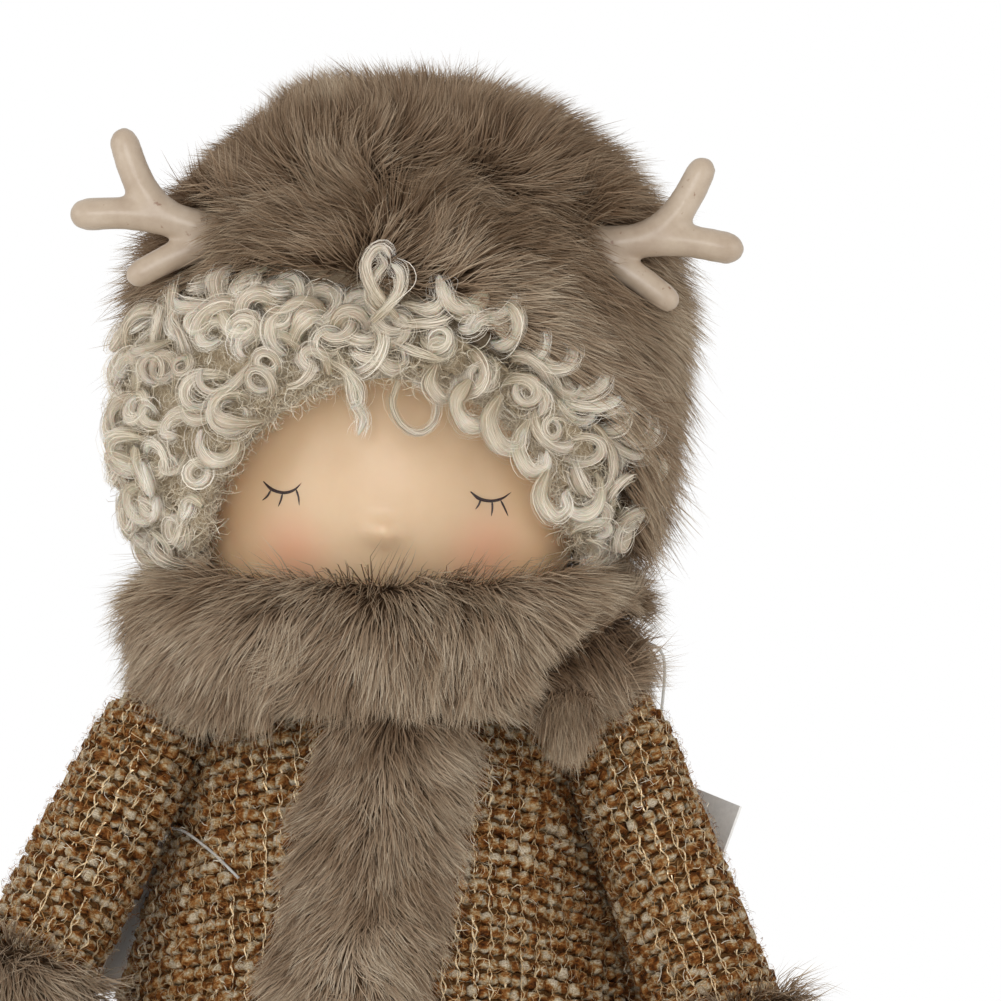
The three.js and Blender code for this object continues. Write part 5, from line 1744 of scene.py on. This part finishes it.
for side in ("left", "right"):
    mesh = soft_copy(f"mitten_{side}", voxel=0.0008, rounds=10, inward=-0.0003)
    mitten = place_piece(f"mitten_felt_{side}", mesh, felt, f"mitten_{side}", [f"mitten_{side}"])
    mesh = soft_copy(f"boot_{side}", voxel=0.0016, rounds=6)
    place_piece(f"boot_felt_{side}", mesh, felt, f"boot_{side}", [f"boot_{side}"])

# %% [markdown]
# The tights are a fine rib knit. Its ribs run down the leg, so the pattern is a wave of the angle round the
# leg, with a much finer wave up it for the rows of stitches. One pattern serves both legs, because they are
# mirrored.

# %% Tights
RIBS = 34
STITCH = 0.0011
tights, shader = new_finish("ribbed_tights", Roughness=0.85, Specular_IOR_Level=0.2, Sheen_Weight=0.3)
tree = tights.node_tree
place = add_node(tree, "ShaderNodeSeparateXYZ", Vector=add_node(tree, "ShaderNodeTexCoord").outputs["Object"])
leg_middles = [middle_of(f"leg_{side}") for side in ("left", "right")]


def work_out(operation, first, second=0.0):
    """One step of arithmetic on the tights' coordinates."""
    return add_node(tree, "ShaderNodeMath", {"operation": operation}, _0=first, _1=second).outputs[0]


between_legs = (leg_middles[0].x + leg_middles[1].x) / 2
leg_apart = (leg_middles[0].x - leg_middles[1].x) / 2
mirrored = work_out("ABSOLUTE", work_out("SUBTRACT", place.outputs["X"], between_legs))
beside = work_out("SUBTRACT", mirrored, leg_apart)
behind = work_out("SUBTRACT", place.outputs["Y"], leg_middles[0].y)
wave = work_out("SINE", work_out("MULTIPLY", work_out("ARCTAN2", behind, beside), RIBS))
rows = work_out("SINE", work_out("MULTIPLY", place.outputs["Z"], math.tau / STITCH))
knit = work_out("ADD", wave, work_out("MULTIPLY", rows, 0.35))
# The colour follows the knit's relief. It is darker in the hollows between the ribs and the stitch rows, as
# painted shade.
colour = ramp(tree, between(tree, knit, -1.2, 1.2), [(0.1, "a89a83"), (0.8, "dcd2c1")])
tree.links.new(colour, shader.inputs["Base Color"])
raise_by(tree, shader, knit, distance=0.0002, strength=0.8)
for side in ("left", "right"):
    mesh = soft_copy(f"leg_{side}", voxel=0.0018, rounds=8)
    leg = place_piece(f"tights_{side}", mesh, tights, f"leg_{side}", [f"leg_{side}"])

# %% [markdown]
# The solids whose shapes are already right keep them and only need a finish: sole rubber, bare wood, steel,
# plain cloth and white card. Each has its own grain or grit, at its real size.

# %% Finishes for the solids that stay


def grained(name, dark, light, scale, relief, **sockets):
    """A finish with cloudy colour between two tones, and fine relief."""
    finish, shader = clouded(name, scale, [(0.3, dark), (0.7, light)], detail=4, **sockets)
    raise_by(finish.node_tree, shader, noise(finish.node_tree, scale * 3, 3), relief, strength=0.6)
    return finish


kept_finishes = {
    "rubber": grained("sole_rubber", "2c2621", "443a32", scale=400, relief=0.0001, Roughness=0.75),
    "wood": grained("bare_wood", "b8956a", "d3b68a", scale=180, relief=0.00008, Roughness=0.65),
    "steel": grained(
        "plain_steel", "8d8d8e", "b5b5b6", scale=500, relief=0.00003, Roughness=0.35, Metallic=1.0
    ),
    "cloth": grained("plain_cloth", "c9c0b0", "e0d9cb", scale=1200, relief=0.0001, Roughness=0.9),
    "plastic": grained("white_plastic", "dedcd7", "efeeea", scale=300, relief=0.00003, Roughness=0.4),
    "paper": grained("plain_card", "e9e8e5", "f6f5f2", scale=900, relief=0.00003, Roughness=0.55),
}
slot_of = {part["node"]: part["material_slot"] for part in frame["record"]["subparts"]}
# The shoulder cords and discs get a dark brown cord finish. Part of that darkness is painted shade for the shadow
# between sleeve and coat, where they show.
own_finishes = {
    "shoulder": grained("shoulder_cord_painted_shade", "3c2a1a", "5a4229", scale=900, relief=0.0001, Roughness=0.85),
    "lining": grained("lining_cloth", "77654f", "94836b", scale=1100, relief=0.0001, Roughness=0.9),
}
for name, solid in frame["nodes"].items():
    if slot_of[name] in kept_finishes and not solid.hide_render:
        solid.data.materials.clear()
        own = [finish for word, finish in own_finishes.items() if word in name]
        solid.data.materials.append(own[0] if own else kept_finishes[slot_of[name]])
print("finished the solids that stay")

# %% [markdown]
# The studio is a white room with soft light from all sides, a broad lamp in front and a larger one on each
# side, the left one stronger. The floor is a plain pale disc under the boots.

# %% Studio
FLOOR_RADIUS = 0.9
bm = bmesh.new()
bmesh.ops.create_circle(bm, cap_ends=True, segments=96, radius=FLOOR_RADIUS)
floor_mesh = bpy.data.meshes.new("floor")
bm.to_mesh(floor_mesh)
bm.free()
floor = bpy.data.objects.new("floor", floor_mesh)
bpy.context.scene.collection.objects.link(floor)
floor_finish, _ = new_finish("studio_floor", Base_Color=tint("f0f0ee"), Roughness=0.9)
floor_mesh.materials.append(floor_finish)

world = bpy.data.worlds.new("studio")
bpy.context.scene.world = world
world.use_nodes = True
tree = world.node_tree
tree.nodes.clear()
seen = add_node(tree, "ShaderNodeBackground", Color=(1, 1, 1, 1), Strength=1.0)
lit = add_node(tree, "ShaderNodeBackground", Color=(1, 0.99, 0.97, 1), Strength=0.78)
to_camera = add_node(tree, "ShaderNodeLightPath").outputs["Is Camera Ray"]
mixed = add_node(tree, "ShaderNodeMixShader", Fac=to_camera, _1=lit.outputs[0], _2=seen.outputs[0])
tree.links.new(mixed.outputs[0], tree.nodes.new("ShaderNodeOutputWorld").inputs["Surface"])


def add_lamp(name, place, size, power):
    """A square soft lamp that looks at the doll's head."""
    lamp = bpy.data.lights.new(name, "AREA")
    lamp.size = size
    lamp.energy = power
    holder = bpy.data.objects.new(name, lamp)
    holder.location = place
    holder.rotation_euler = (Vector((0, 0, 0.3)) - Vector(place)).to_track_quat("-Z", "Y").to_euler()
    bpy.context.scene.collection.objects.link(holder)


add_lamp("front_lamp", (-0.1, -1.25, 0.42), size=0.6, power=4.3)
add_lamp("left_lamp", (-0.95, -0.65, 0.5), size=0.8, power=2.9)
add_lamp("right_lamp", (0.95, -0.65, 0.4), size=0.8, power=2)
bpy.context.scene.view_settings.view_transform = "Standard"
